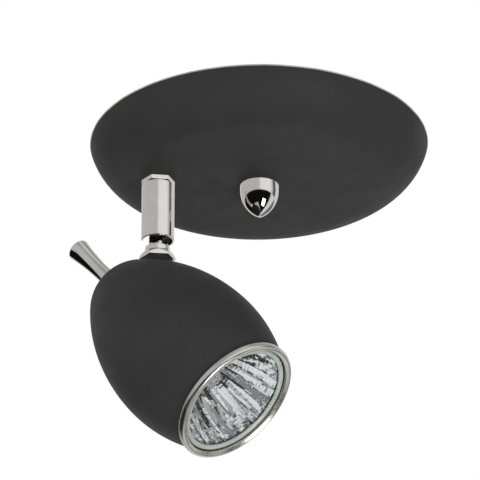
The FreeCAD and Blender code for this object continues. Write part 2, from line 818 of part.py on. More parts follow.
# Arm, drawn from the tilt pivot
def slotted_sleeve():
    """Tube with a closed top, slotted from its lower end on the side the neck swings out."""
    made = body("slotted_sleeve", ARM)
    top = sleeve_top - pivot_height
    bottom = sleeve_bottom - pivot_height
    outer = s.sleeve_radius
    inner = outer - s.sleeve_wall
    edge = s.sleeve_edge
    hole = s.nipple_radius + s.running_gap
    turn(made, [(inner, bottom), (outer - edge, bottom, edge, "left"), (outer, bottom + edge),
                (outer, top - edge, edge, "left"), (outer - edge, top), (hole, top),
                (hole, top - s.sleeve_wall), (inner, top - s.sleeve_wall)])
    gate = sketch(made, "XY_Plane", -s.sleeve_slot_below_pivot)
    half = s.neck_width / 2 + s.sleeve_slot_room
    rectangle(gate, -s.sleeve_radius * 2, -half, 0, half)
    extrude(made, gate, s.sleeve_length, kind="Pocket")
    drill(made, s.stop_pin_radius, top - s.sleeve_wall - s.running_gap, top + s.cut_overrun,
          x=-s.stop_pin_from_axis)


def fork():
    """Plug inside the sleeve: a roof that turns on the nipple, and two cheeks for the pivot."""
    made = body("fork", ARM)
    top = fork_top - pivot_height
    roof = top - s.fork_roof
    web_top = roof - s.fork_cavity_depth
    slot_top = s.neck_width / 2 + s.fork_slot_above_tongue
    bottom = -s.fork_end_below_pivot
    outer = s.sleeve_radius - s.sleeve_wall - s.running_gap
    cavity = s.nipple_flange_radius + s.free_gap
    bore = s.nipple_radius + s.running_gap
    turn(made, [(s.fork_wire_bore, bottom), (outer, bottom), (outer, top), (bore, top),
                (bore, roof), (cavity, roof), (cavity, web_top), (s.fork_wire_bore, web_top)])
    gap = sketch(made, "YZ_Plane")
    half = s.tongue_thickness / 2 + s.tilt_washer_height + s.running_gap
    rectangle(gap, -half, bottom - s.cut_overrun, half, slot_top)
    cut = extrude(made, gap, s.sleeve_radius * 2, kind="Pocket", side="Symmetric")
    pin_hole = sketch(made, "XZ_Plane")
    circle(pin_hole, 0, 0, s.pivot_radius + s.thread_gap)
    extrude(made, pin_hole, s.sleeve_radius * 2, kind="Pocket", side="Symmetric")
    seat = sketch(made, "XZ_Plane", s.pivot_length / 2 - s.pivot_head_height)
    circle(seat, 0, 0, s.pivot_head_radius + s.running_gap)
    extrude(made, seat, s.sleeve_radius, kind="Pocket", reverse=True)


def pivot():
    """Stop pin, cross screw and the two washers beside the tongue."""
    pin = body("stop_pin", ARM.moved(-s.stop_pin_from_axis, 0, 0))
    low = fork_top - pivot_height
    high = collar_bottom - pivot_height + s.stop_groove_depth - s.stop_pin_end_gap
    turn(pin, [(0, low), (s.stop_pin_radius, low), (s.stop_pin_radius, high), (0, high)])
    screw = body("pivot_screw", ARM)
    shank = sketch(screw, "XZ_Plane")
    circle(shank, 0, 0, s.pivot_radius)
    extrude(screw, shank, s.pivot_length, side="Symmetric")
    head = sketch(screw, "XZ_Plane", s.pivot_length / 2 - s.pivot_head_height)
    circle(head, 0, 0, s.pivot_head_radius)
    extrude(screw, head, s.pivot_head_height)
    driver = sketch(screw, "XZ_Plane", s.pivot_length / 2)
    rectangle(driver, -s.pivot_head_radius * 2, -s.pivot_radius / 5,
              s.pivot_head_radius * 2, s.pivot_radius / 5)
    extrude(screw, driver, s.pivot_head_height / 2, kind="Pocket")
    washers = []
    half = s.tongue_thickness / 2 + s.running_gap
    for side in (-1, 1):
        washer = member("tilt_washer_%d" % (side + 1), ARM)
        ring = sketch(washer, "XZ_Plane", half * side)
        circle(ring, 0, 0, s.tilt_washer_radius)
        circle(ring, 0, 0, s.pivot_radius + s.running_gap)
        extrude(washer, ring, s.tilt_washer_height, reverse=side < 0)
        washers.append(washer)
    group("tilt_washers", washers)


# Neck, drawn from the tilt pivot
def neck():
    """Tongue, chamfered square, round collar and threaded stub, bored for the wires."""
    made = body("neck", HEAD)
    half = s.neck_width / 2
    tongue = sketch(made, "XZ_Plane")
    outline(tongue, [(half, 0, half, "left"), (0, half, half, "left"), (-half, 0),
                     (-half, -s.tongue_length), (half, -s.tongue_length)])
    extrude(made, tongue, s.tongue_thickness, side="Symmetric")
    shoulder = s.neck_width / 2 - s.neck_chamfer
    square = sketch(made, "XY_Plane", -s.tongue_length)
    outline(square, [(half, -shoulder), (half, shoulder), (shoulder, half), (-shoulder, half),
                     (-half, shoulder), (-half, -shoulder), (-shoulder, -half), (shoulder, -half)])
    extrude(made, square, s.neck_square_end - s.tongue_length, reverse=True)
    stub_end = stub_nut_end - s.stub_proud
    edge = s.neck_collar_edge
    turn(made, [(0, stub_end), (s.neck_stub_radius, stub_end), (s.neck_stub_radius, collar_end),
                (s.neck_collar_radius - edge, collar_end), (s.neck_collar_radius, collar_end + edge),
                (s.neck_collar_radius, -s.neck_square_end - edge),
                (s.neck_collar_radius - edge, -s.neck_square_end), (0, -s.neck_square_end)])
    drill(made, s.neck_bore, stub_end - s.cut_overrun, -s.wire_exit_below_pivot)
    exit_hole = sketch(made, "YZ_Plane")
    circle(exit_hole, 0, -s.wire_exit_below_pivot, s.wire_exit_radius)
    extrude(made, exit_hole, s.neck_width, kind="Pocket")
    pin_hole = sketch(made, "XZ_Plane")
    circle(pin_hole, 0, 0, s.pivot_radius + s.running_gap)
    extrude(made, pin_hole, s.neck_width * 2, kind="Pocket", side="Symmetric")


def neck_fixings():
    """Nut and saddle above the shade's wall, saddle and nut under it."""
    bore = s.neck_stub_radius + s.thread_gap
    nut = body("neck_nut", HEAD)
    hex_ring(nut, s.neck_nut_flats, nut_end, s.neck_nut_height, bore,
             turned=ANGLES["neck_nut_turn_angle"])
    cone = sketch(nut, "XZ_Plane")
    corner = s.neck_nut_flats / math.sqrt(3) + s.running_gap
    outline(cone, [(s.neck_nut_top_radius, collar_end), (corner, nut_end + s.neck_nut_rim),
                   (corner + s.cut_overrun, nut_end + s.neck_nut_rim),
                   (corner + s.cut_overrun, collar_end + s.cut_overrun),
                   (s.neck_nut_top_radius, collar_end + s.cut_overrun)])
    bevel = feature(nut, "Groove", cone)
    bevel.ReferenceAxis = (cone, ["V_Axis"])
    bevel.Angle = 360.0
    form = member("shade_form", SHADE)
    shade_solid(form, 0)
    lining = member("shade_lining", SHADE)
    shade_solid(lining, s.shade_wall)
    blank = member("saddle_blank", HEAD)
    loose = s.neck_stub_radius + s.hole_gap
    depth = s.saddle_height * 4
    plate(blank, s.saddle_radius, loose, nut_end - depth, depth)
    saddle = doc.addObject("Part::Cut", "saddle_washer")
    saddle.Label = "saddle_washer"
    saddle.Base = blank
    saddle.Tool = form
    nodes.append(saddle)
    core = member("inner_saddle_blank", HEAD)
    plate(core, s.inner_saddle_radius, loose, inner_saddle_end, s.inner_saddle_height * 2)
    inner = doc.addObject("Part::Common", "inner_saddle")
    inner.Label = "inner_saddle"
    inner.Base = core
    inner.Tool = lining
    nodes.append(inner)
    back_nut = body("stub_nut", HEAD)
    hex_ring(back_nut, s.stub_nut_flats, stub_nut_end, s.stub_nut_height, bore,
             turned=ANGLES["stub_nut_turn_angle"])


# Shade, drawn from its mouth to its pole
def side_curve(inset):
    """The shade's side from mouth to nose, on its skin or inset from it: mouth radius, widest
    radius and the point where the nose begins."""
    front = front_arc - inset
    mouth = root(front * front - s.shade_front_length * s.shade_front_length) + s.shade_radius
    arc = back_arc - inset
    meet = (arc * nose_share - back_offset,
            s.shade_front_length + arc * back_run / (back_arc - s.shade_nose_radius))
    return mouth - front_arc, s.shade_radius - inset, meet


def shade_solid(made, inset):
    """A closed solid bounded by the shade's skin or lining."""
    mouth, widest, meet = side_curve(inset)
    nose = s.shade_nose_radius - inset
    turn(made, [(0, 0), (mouth, 0, front_arc - inset, "left"),
                (widest, s.shade_front_length, back_arc - inset, "left"),
                (meet[0], meet[1], nose, "left"), (0, nose_centre + nose)])


def shade():
    """Spun egg-shaped shell, open at the mouth, with holes for the neck and the lever's screw."""
    made = body("shade", SHADE)
    wall = s.shade_wall
    hole = s.lever_screw_radius + s.hole_gap
    mouth, widest, meet = side_curve(0)
    in_mouth, in_widest, in_meet = side_curve(wall)
    nose = s.shade_nose_radius
    in_nose = nose - wall
    turn(made, [(mouth, 0, front_arc, "left"),
                (widest, s.shade_front_length, back_arc, "left"),
                (meet[0], meet[1], nose, "left"),
                (hole, nose_centre + root(nose * nose - hole * hole)),
                (hole, nose_centre + root(in_nose * in_nose - hole * hole), in_nose, "right"),
                (in_meet[0], in_meet[1], back_arc - wall, "right"),
                (in_widest, s.shade_front_length, front_arc - wall, "right"),
                (in_mouth, 0)])
    profile = made.newObject("Sketcher::SketchObject", "shade_neck_hole")
    plane = [item for item in made.Origin.OriginFeatures if item.Role == "XY_Plane"][0]
    profile.AttachmentSupport = [(plane, "")]
    profile.MapMode = "FlatFace"
    reach = skin_reach + s.saddle_height * 2
    x = lean * reach
    z = upright * reach + s.neck_crossing
    tilt = Rotation(Vector(0, 1, 0), ANGLES["aim_angle"])
    profile.AttachmentOffset = Placement(Vector(x.value, 0, z.value), tilt)
    profile.setExpression("AttachmentOffset.Base.x", x.text)
    profile.setExpression("AttachmentOffset.Base.z", z.text)
    profile.setExpression("AttachmentOffset.Rotation.Angle", s.aim_angle.text + " * 1deg")
    circle(profile, 0, 0, s.neck_stub_radius + s.hole_gap)
    extrude(made, profile, s.saddle_height * 8, kind="Pocket")


def front_ring():
    """Bezel with a rounded rim and a sloped throat, and a spigot that pushes into the shade."""
    made = body("front_ring", SHADE)
    outer = s.ring_radius
    turn(made, [(s.ring_bore, s.ring_spigot_length), (s.ring_bore, -s.ring_height + s.ring_slope_depth),
                (outer - s.ring_front_round, -s.ring_height, s.ring_front_round, "left"),
                (outer, -s.ring_height + s.ring_front_round),
                (outer, -s.ring_rear_round, s.ring_rear_round, "left"),
                (outer - s.ring_rear_round, 0), (s.ring_spigot_radius, 0),
                (s.ring_spigot_radius, s.ring_spigot_length)])


def lever():
    """Waisted turning lever with a domed end, screwed on from inside the shade's pole."""
    made = body("lever", SHADE)
    nose = s.shade_nose_radius
    pole = nose_centre + nose
    end = pole + s.lever_length
    edge_height = end - s.lever_dome - s.lever_edge_round
    run = s.lever_length - s.lever_dome - s.lever_edge_round - s.lever_waist_from_foot
    rise = s.lever_end_radius - s.lever_waist_radius
    arc = (run * run + rise * rise) / (rise * 2)
    back = s.lever_waist_from_foot
    foot = s.lever_waist_radius + arc - root(arc * arc - back * back)
    rim = s.lever_end_radius - s.lever_edge_round
    dome_arc = (rim * rim + s.lever_dome * s.lever_dome) / (s.lever_dome * 2)
    bore = s.lever_screw_radius + s.thread_gap
    turn(made, [(bore, nose_centre + root(nose * nose - bore * bore), nose, "right"),
                (foot, nose_centre + root(nose * nose - foot * foot)),
                (foot, pole, arc, "right"),
                (s.lever_waist_radius, pole + back, arc, "right"),
                (s.lever_end_radius, edge_height, s.lever_edge_round, "left"),
                (rim, edge_height + s.lever_edge_round, dome_arc, "left"),
                (0, end), (0, pole + s.lever_thread_depth), (bore, pole + s.lever_thread_depth)])
    screw = body("lever_screw", SHADE)
    in_nose = nose - s.shade_wall
    seat = nose_centre + root(in_nose * in_nose - s.lever_screw_head * s.lever_screw_head)
    pan_screw(screw, s.lever_screw_radius, s.lever_screw_head, s.lever_screw_head_height,
              pole + s.lever_screw_reach, seat)


# Lampholder
def holder_bracket():
    """Strap bent round from under the neck's saddle to a plate square to the shade's axis."""
    made = body("holder_bracket", SHADE)
    metal = s.holder_bracket_metal
    from_crossing = skin_depth - skin_reach
    upper = inner_saddle_end - from_crossing
    lower = upper - metal
    riser = (lower * lean + s.stub_nut_flats / 2 * upright + s.holder_bracket_nut_gap + metal)
    inner = s.holder_bracket_inner_reach

    def along(reach, height):
        """Point on the sloping leg, in the shade's frame."""
        return (height * lean + reach * upright, s.neck_crossing + height * upright - reach * lean)

    top_bend = (riser - upper * lean) / upright
    low_bend = (riser - metal - lower * lean) / upright
    profile = sketch(made, "XZ_Plane")
    far = -s.holder_bracket_far_reach
    outline(profile, [along(-inner, upper), along(-inner, lower), along(low_bend, lower),
                      (riser - metal, bracket_back), (far, bracket_back), (far, holder_cap_back),
                      (riser, holder_cap_back), along(top_bend, upper)])
    extrude(made, profile, s.holder_bracket_width, side="Symmetric")
    hole = made.newObject("Sketcher::SketchObject", "holder_bracket_neck_hole")
    plane = [item for item in made.Origin.OriginFeatures if item.Role == "XY_Plane"][0]
    hole.AttachmentSupport = [(plane, "")]
    hole.MapMode = "FlatFace"
    x = lean * (upper + metal)
    z = upright * (upper + metal) + s.neck_crossing
    tilt = Rotation(Vector(0, 1, 0), ANGLES["aim_angle"])
    hole.AttachmentOffset = Placement(Vector(x.value, 0, z.value), tilt)
    hole.setExpression("AttachmentOffset.Base.x", x.text)
    hole.setExpression("AttachmentOffset.Base.z", z.text)
    hole.setExpression("AttachmentOffset.Rotation.Angle", s.aim_angle.text + " * 1deg")
    circle(hole, 0, 0, s.neck_stub_radius + s.hole_gap)
    extrude(made, hole, metal * 3, kind="Pocket")
    plate_holes = sketch(made, "XY_Plane", bracket_back + s.running_gap)
    for side in (-1, 1):
        circle(plate_holes, s.holder_screw_from_axis * side, 0, s.holder_screw_radius + s.hole_gap)
    circle(plate_holes, 0, 0, s.holder_wire_from_axis)
    extrude(made, plate_holes, metal * 2, kind="Pocket")


def lampholder():
    """Ceramic holder with keyhole tracks for the lamp's pins, its cap, contacts and screws."""
    made = body("lampholder", SHADE)
    outer = s.holder_radius
    edge = s.holder_edge
    turn(made, [(0, holder_front), (outer - edge, holder_front), (outer, holder_front + edge),
                (outer, holder_back), (s.holder_chamber_radius, holder_back),
                (s.holder_chamber_radius, chamber_front), (0, chamber_front)])
    narrow = s.pin_radius + s.pin_room
    wide = s.pin_head_radius + s.pin_room
    track = sketch(made, "XZ_Plane")
    for side in (-1, 1):
        middle = s.pin_from_axis * side
        rectangle(track, middle - narrow, holder_front - s.cut_overrun, middle + narrow,
                  chamber_front + s.running_gap)
    sweep = feature(made, "Groove", track)
    sweep.ReferenceAxis = (track, ["V_Axis"])
    bind(sweep, "Angle", s.lamp_twist_angle)
    holes = sketch(made, "XY_Plane", chamber_front + s.running_gap)
    for side in (-1, 1):
        circle(holes, s.pin_from_axis * side, 0, narrow)
    extrude(made, holes, s.holder_plate + s.cut_overrun, kind="Pocket")
    entry = sketch(made, "XY_Plane", chamber_front + s.running_gap)
    for side in (-1, 1):
        reach = s.pin_from_axis * side
        circle(entry, cosine(s.lamp_twist_angle) * reach, sine(s.lamp_twist_angle) * reach, wide)
    extrude(made, entry, s.holder_plate + s.cut_overrun, kind="Pocket")
    taps = sketch(made, "XY_Plane", holder_back)
    for side in (-1, 1):
        circle(taps, s.holder_screw_from_axis * side, 0, s.holder_screw_radius + s.thread_gap)
    extrude(made, taps, s.holder_chamber_depth, kind="Pocket")
    cap = body("lampholder_cap", SHADE)
    profile = sketch(cap, "XY_Plane", holder_back)
    circle(profile, 0, 0, outer)
    for side in (-1, 1):
        circle(profile, s.holder_screw_from_axis * side, 0, s.holder_screw_radius + s.hole_gap)
        circle(profile, 0, s.holder_wire_from_axis / 2 * side, s.holder_wire_hole)
    extrude(cap, profile, s.holder_cap_height)
    contacts = []
    screws = []
    for side in (-1, 1):
        contact = member("holder_contact_%d" % (side + 1), SHADE.moved(s.pin_from_axis * side, 0, 0))
        spring = s.contact_radius / 2
        low = lamp_end + s.running_gap
        turn(contact, [(0, low), (spring, low), (s.contact_radius, low + spring),
                       (s.contact_radius, holder_back), (0, holder_back)])
        contacts.append(contact)
        screw = member("holder_screw_%d" % (side + 1),
                       SHADE.moved(s.holder_screw_from_axis * side, 0, 0))
        down_screw(screw, s.holder_screw_radius, s.holder_screw_head, s.holder_screw_head_height,
                   bracket_back - s.holder_screw_reach, bracket_back)
        screws.append(screw)
    group("holder_contacts", contacts)
    group("holder_screws", screws)


# Lamp
def lamp():
    """Twist-lock reflector lamp: front glass, glass bowl, ceramic base, pins and capsule."""
    glass = body("lamp_front_glass", SHADE)
    bevel = s.lamp_glass_bevel
    turn(glass, [(0, lamp_front), (s.lamp_radius - bevel, lamp_front),
                 (s.lamp_radius, lamp_front + bevel), (s.lamp_radius, glass_back), (0, glass_back)])
    bowl = body("lamp_reflector", SHADE)
    flange = glass_back + s.lamp_flange
    turn(bowl, [(s.lamp_bowl_mouth, glass_back), (s.lamp_radius, glass_back),
                (s.lamp_radius, flange), (s.lamp_back_mouth, flange, s.lamp_bowl_arc, "left"),
                (s.lamp_back_throat, back_throat), (s.lamp_bowl_throat, back_throat),
                (s.lamp_bowl_throat, bowl_throat, s.lamp_bowl_arc, "right")])
    base = body("lamp_base", SHADE)
    turn(base, [(0, back_throat), (s.lamp_base_radius, back_throat),
                (s.lamp_base_radius, lamp_base_end - s.lamp_base_edge),
                (s.lamp_base_radius - s.lamp_base_edge, lamp_base_end), (0, lamp_base_end)])
    pins = []
    for side in (-1, 1):
        one = member("lamp_pin_%d" % (side + 1), SHADE.moved(s.pin_from_axis * side, 0, 0))
        neck_end = lamp_end - s.pin_head_height
        edge = s.pin_head_radius / 5
        turn(one, [(0, lamp_base_end), (s.pin_radius, lamp_base_end), (s.pin_radius, neck_end),
                   (s.pin_head_radius, neck_end), (s.pin_head_radius, lamp_end - edge),
                   (s.pin_head_radius - edge, lamp_end), (0, lamp_end)])
        pins.append(one)
    group("lamp_pins", pins)
    capsule = body("lamp_capsule", SHADE)
    outer = s.capsule_radius
    wall = s.capsule_wall
    dome = back_throat - s.capsule_length + outer
    turn(capsule, [(outer - wall, back_throat), (outer - wall, dome, outer - wall, "right"),
                   (0, dome - outer + wall), (0, dome - outer, outer, "left"), (outer, dome),
                   (outer, back_throat)])
    filament = body("lamp_filament", SHADE)
    shape = sketch(filament, "XZ_Plane")
    span = s.filament_span
    wire = s.filament_wire * 2
    coil = back_throat - s.filament_height
    outline(shape, [(-span, back_throat), (-span, coil), (span, coil), (span, back_throat),
                    (span - wire, back_throat), (span - wire, coil + s.filament_coil * 2),
                    (-span + wire, coil + s.filament_coil * 2), (-span + wire, back_throat)])
    extrude(filament, shape, wire, side="Symmetric")


for build in (canopy_shell, ceiling_bracket, centre_fixing, terminals, swivel, slotted_sleeve, fork,
              pivot, neck, neck_fixings, shade, front_ring, lever, holder_bracket, lampholder, lamp):
    build()

doc.recompute()
for item in doc.Objects:
    if "Invalid" in item.State or "Error" in item.State:
        raise RuntimeError("failed feature: " + item.Label + " " + str(item.State))
os.makedirs("parts", exist_ok=True)
for node in nodes:
    shape = node.Shape
    if shape.isNull() or not shape.isValid() or not shape.Solids:
        raise RuntimeError("bad shape: " + node.Label)
    shape.exportStep("parts/" + node.Label + ".step")
    print(node.Label, len(shape.Solids), round(shape.Volume, 1))
print("nodes", len(nodes))
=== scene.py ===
"""Adjustable ceiling spotlight, dressed for a plain studio picture.

The frame gives where every piece sits. Each new piece is a surface worked out with numpy: a profile
turned round an axis, a section carried along one, a pleated bowl or a tube along a line. Sizes in
the property groups are in millimetres where the name ends in mm, and the meshes are made in metres.
"""

import json
import math

import bmesh
import bpy
import numpy as np
from mathutils import Matrix, Vector


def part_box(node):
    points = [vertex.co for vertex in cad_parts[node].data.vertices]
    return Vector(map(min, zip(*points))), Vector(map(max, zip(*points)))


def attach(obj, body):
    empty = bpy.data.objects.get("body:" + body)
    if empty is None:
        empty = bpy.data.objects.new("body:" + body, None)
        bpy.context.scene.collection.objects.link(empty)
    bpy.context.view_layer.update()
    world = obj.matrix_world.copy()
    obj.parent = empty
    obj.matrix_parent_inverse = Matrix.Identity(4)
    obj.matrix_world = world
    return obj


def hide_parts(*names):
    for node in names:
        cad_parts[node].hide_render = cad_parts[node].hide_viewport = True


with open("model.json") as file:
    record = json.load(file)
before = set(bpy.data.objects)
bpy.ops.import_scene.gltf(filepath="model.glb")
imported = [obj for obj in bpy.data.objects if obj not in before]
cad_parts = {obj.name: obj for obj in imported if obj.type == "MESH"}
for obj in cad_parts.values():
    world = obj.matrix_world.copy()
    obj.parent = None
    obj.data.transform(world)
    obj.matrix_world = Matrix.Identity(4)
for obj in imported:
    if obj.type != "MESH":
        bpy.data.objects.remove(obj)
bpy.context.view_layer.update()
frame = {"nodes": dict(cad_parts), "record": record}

bl_info = {
    "name": "Adjustable ceiling spotlight",
    "version": (1, 0, 0),
    "blender": (4, 5, 0),
    "location": "View3D > Sidebar > Spotlight",
    "description": "Builds the visible skins and finishes of a ceiling spotlight over its frame",
    "category": "Add Mesh",
}

MM = 0.001
JOINTS = {joint["name"]: joint for joint in frame["record"]["behaviour"]["joints"]}


# Frames of reference, in millimetres.
class Axes:
    """An origin and three unit axes in the part's own coordinates, in millimetres."""

    def __init__(self, origin, x, y, z):
        self.origin = np.array(origin, float)
        self.rows = np.array([x, y, z], float)

    def place(self, points):
        """Points given along the axes, in the part's own coordinates."""
        return self.origin + points @ self.rows


def unit(vectors):
    """A vector, or each row of them, at length one."""
    return vectors / np.linalg.norm(vectors, axis=-1, keepdims=True)


UP = np.array([0.0, 0.0, 1.0])
SIDE = unit(JOINTS["tilt"]["axis"])
POLE = unit(JOINTS["lamp_twist"]["axis"])
ROSE = Axes((0, 0, 0), (1, 0, 0), (0, 1, 0), UP)
SWIVEL = Axes((JOINTS["pan"]["pos_m"][0] / MM, 0, 0), (1, 0, 0), (0, 1, 0), UP)
HEAD = Axes(np.array(JOINTS["tilt"]["pos_m"]) / MM, np.cross(SIDE, UP), SIDE, UP)
SHADE = Axes(np.array(JOINTS["lamp_twist"]["pos_m"]) / MM, np.cross(SIDE, POLE), SIDE, POLE)


def span(node):
    """Lowest and highest corner of a frame node, in millimetres."""
    low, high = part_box(node)
    return np.array(low) / MM, np.array(high) / MM


# Profiles. A corner is sharp where the cosine of the turn between its two runs is below this.
SMOOTH_ENOUGH = 0.94


def arc_points(start, end, radius, side, step):
    """Points on the short arc between two points, its centre on one side of the way."""
    chord = end - start
    middle = (start + end) / 2
    rise = math.sqrt(max(radius ** 2 - (np.linalg.norm(chord) / 2) ** 2, 0.0))
    normal = np.array([-chord[1], chord[0]]) / np.linalg.norm(chord)
    centre = middle + normal * (rise if side == "left" else -rise)
    first = math.atan2(*(start - centre)[::-1])
    last = math.atan2(*(end - centre)[::-1])
    if side == "left" and last < first:
        last += 2 * math.pi
    if side == "right" and last > first:
        last -= 2 * math.pi
    count = max(math.ceil(abs(last - first) / math.radians(step)), 2)
    turn = np.linspace(first, last, count + 1)
    return centre + radius * np.stack([np.cos(turn), np.sin(turn)], axis=1)


def profile(corners, soft=0.12, closed=True, step=4.0):
    """An outline of (radius, height[, arc radius, side]) corners as points. Each sharp corner is
    eased with a small parabola of size soft, and has a point a little before and after it, so
    that the flats beside it keep their shading."""
    runs = []
    count = len(corners)
    for index in range(count if closed else count - 1):
        start = np.array(corners[index][:2], float)
        end = np.array(corners[(index + 1) % count][:2], float)
        if len(corners[index]) > 2:
            runs.append(arc_points(start, end, corners[index][2], corners[index][3], step))
        else:
            runs.append(np.array([start, end]))
    points = []
    for index, run in enumerate(runs):
        points += list(run[1:-1] if index or closed else run[:-1])
        corner, after = run[-1], runs[(index + 1) % len(runs)]
        before, beyond = run[-2] - corner, after[1] - after[0]
        back, ahead = unit(before), unit(beyond)
        is_end = not closed and index == len(runs) - 1
        if is_end or soft <= 0 or -back @ ahead > SMOOTH_ENOUGH:
            points.append(corner)
            continue
        ease = min(soft, min(np.linalg.norm(before), np.linalg.norm(beyond)) * 0.3)
        share = np.linspace(0, 1, 5)[:, None]
        near, far = corner + back * ease, corner + ahead * ease
        curve = (1 - share) ** 2 * near + 2 * share * (1 - share) * corner + share ** 2 * far
        points += [corner + back * ease * 2, *curve, corner + ahead * ease * 2]
    return np.array(points)


def hexagon(flats, turned_by):
    """A hexagon's reach at each angle, as turned takes it: half its flats over the cosine of the
    angle from the middle of the nearest side."""
    half_side = math.pi / 6

    def reach(angle):
        from_start = angle - math.radians(turned_by - 30) + half_side
        return flats / 2 / np.cos(from_start % (2 * half_side) - half_side)

    return reach


def capped(rings, first, last):
    """A stack of rings, closed to a point at each end."""
    ends = [np.broadcast_to(point, rings[:1].shape) for point in (first, last)]
    return np.concatenate([ends[0], rings, ends[1]])


# Meshes. A thread's points round and depth in millimetres, and merging distances in metres.
THREAD_TURNS, THREAD_DEPTH = 48, 0.35
WELD, SLIVER = 2e-6, 1e-7


def grid_faces(rows, columns, close_rows, close_columns):
    """Quads of a grid of points, as one index array."""
    row = np.arange(rows if close_rows else rows - 1)[:, None]
    column = np.arange(columns if close_columns else columns - 1)
    here, below, beside = row * columns, (row + 1) % rows * columns, (column + 1) % columns
    quads = np.stack([here + column, here + beside, below + beside, below + column], axis=-1)
    return quads.reshape(-1, 4)


def settle(work, mesh, smooth):
    """Write worked geometry to its mesh, with faces outwards, and edges over the smooth angle
    left sharp."""
    bmesh.ops.recalc_face_normals(work, faces=work.faces)
    work.to_mesh(mesh)
    work.free()
    mesh.polygons.foreach_set("use_smooth", np.full(len(mesh.polygons), smooth > 0))
    if smooth > 0:
        mesh.set_sharp_from_angle(angle=math.radians(smooth))


def mesh_from(name, points, faces, axes, smooth=35.0):
    """A mesh of points given in an Axes, with poles and seams merged."""
    mesh = bpy.data.meshes.new(name)
    mesh.from_pydata(axes.place(points.reshape(-1, 3)) * MM, [], faces.tolist())
    work = bmesh.new()
    work.from_mesh(mesh)
    bmesh.ops.remove_doubles(work, verts=work.verts, dist=WELD)
    bmesh.ops.dissolve_degenerate(work, edges=work.edges, dist=SLIVER)
    settle(work, mesh, smooth)
    return mesh


def around(radius, angle, height):
    """Points (r cos a, r sin a, z) for arrays that broadcast together."""
    radius, angle, height = np.broadcast_arrays(radius, angle, height)
    return np.stack([radius * np.cos(angle), radius * np.sin(angle), height], axis=-1)


def turned(name, outline, axes, closed=True, turns=160, reach=None, smooth=35.0):
    """A surface of revolution: each profile point (r, z) goes round the axis as
    (r cos a, r sin a, z). Where reach is given, r is cut to reach(a), so that a turned chamfer
    ends the flats of a hexagon bar."""
    angle = np.linspace(0, 2 * math.pi, turns, endpoint=False)
    radius = outline[:, :1]
    if reach is not None:
        radius = np.minimum(radius, reach(angle)[None, :])
    points = around(radius, angle, outline[:, 1:])
    return mesh_from(name, points, grid_faces(len(outline), turns, closed, True), axes, smooth)


def threaded(name, radius, pitch, depth, low, high, axes, bore=0.0):
    """A screw thread: the radius falls by depth as a wave of z / pitch less one turn per
    revolution, with flattened crests and roots, and by less at both ends."""
    z = np.linspace(low, high, max(int((high - low) / pitch * 10), 4))
    angle = np.linspace(0, 2 * math.pi, THREAD_TURNS, endpoint=False)
    phase = z[:, None] / pitch - angle / (2 * math.pi)
    wave = 1 - np.abs((phase % 1) * 2 - 1)
    fade = np.clip(np.minimum(z - low, high - z) / pitch, 0, 1)[:, None]
    reach = radius - depth * np.clip(wave * 1.3 - 0.15, 0, 1) * (0.4 + 0.6 * fade)
    first, last = (around(bore, angle, end)[None] for end in (low, high))
    points = np.concatenate([first, around(reach, angle, z[:, None]), last])
    faces = grid_faces(len(points), THREAD_TURNS, bore > 0, True)
    return mesh_from(name, points, faces, axes)


# Pieces.
def add(name, data):
    """An object in the scene."""
    made = bpy.data.objects.new(name, data)
    bpy.context.scene.collection.objects.link(made)
    return made


def piece(mesh, body, material, slot, *nodes):
    """An object for a mesh that rides on a body and may stand for frame nodes."""
    made = add(mesh.name, mesh)
    made.data.materials.append(finish(material))
    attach(made, body)
    if nodes:
        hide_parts(*nodes)
    return made


# The finish and the slot of the bright pieces.
CHROME = ("polished_chrome", "bright_chrome")


def coat(material, *nodes):
    """Give frame nodes a finish."""
    for node in nodes:
        data = frame["nodes"][node].data
        data.materials.clear()
        data.materials.append(finish(material))


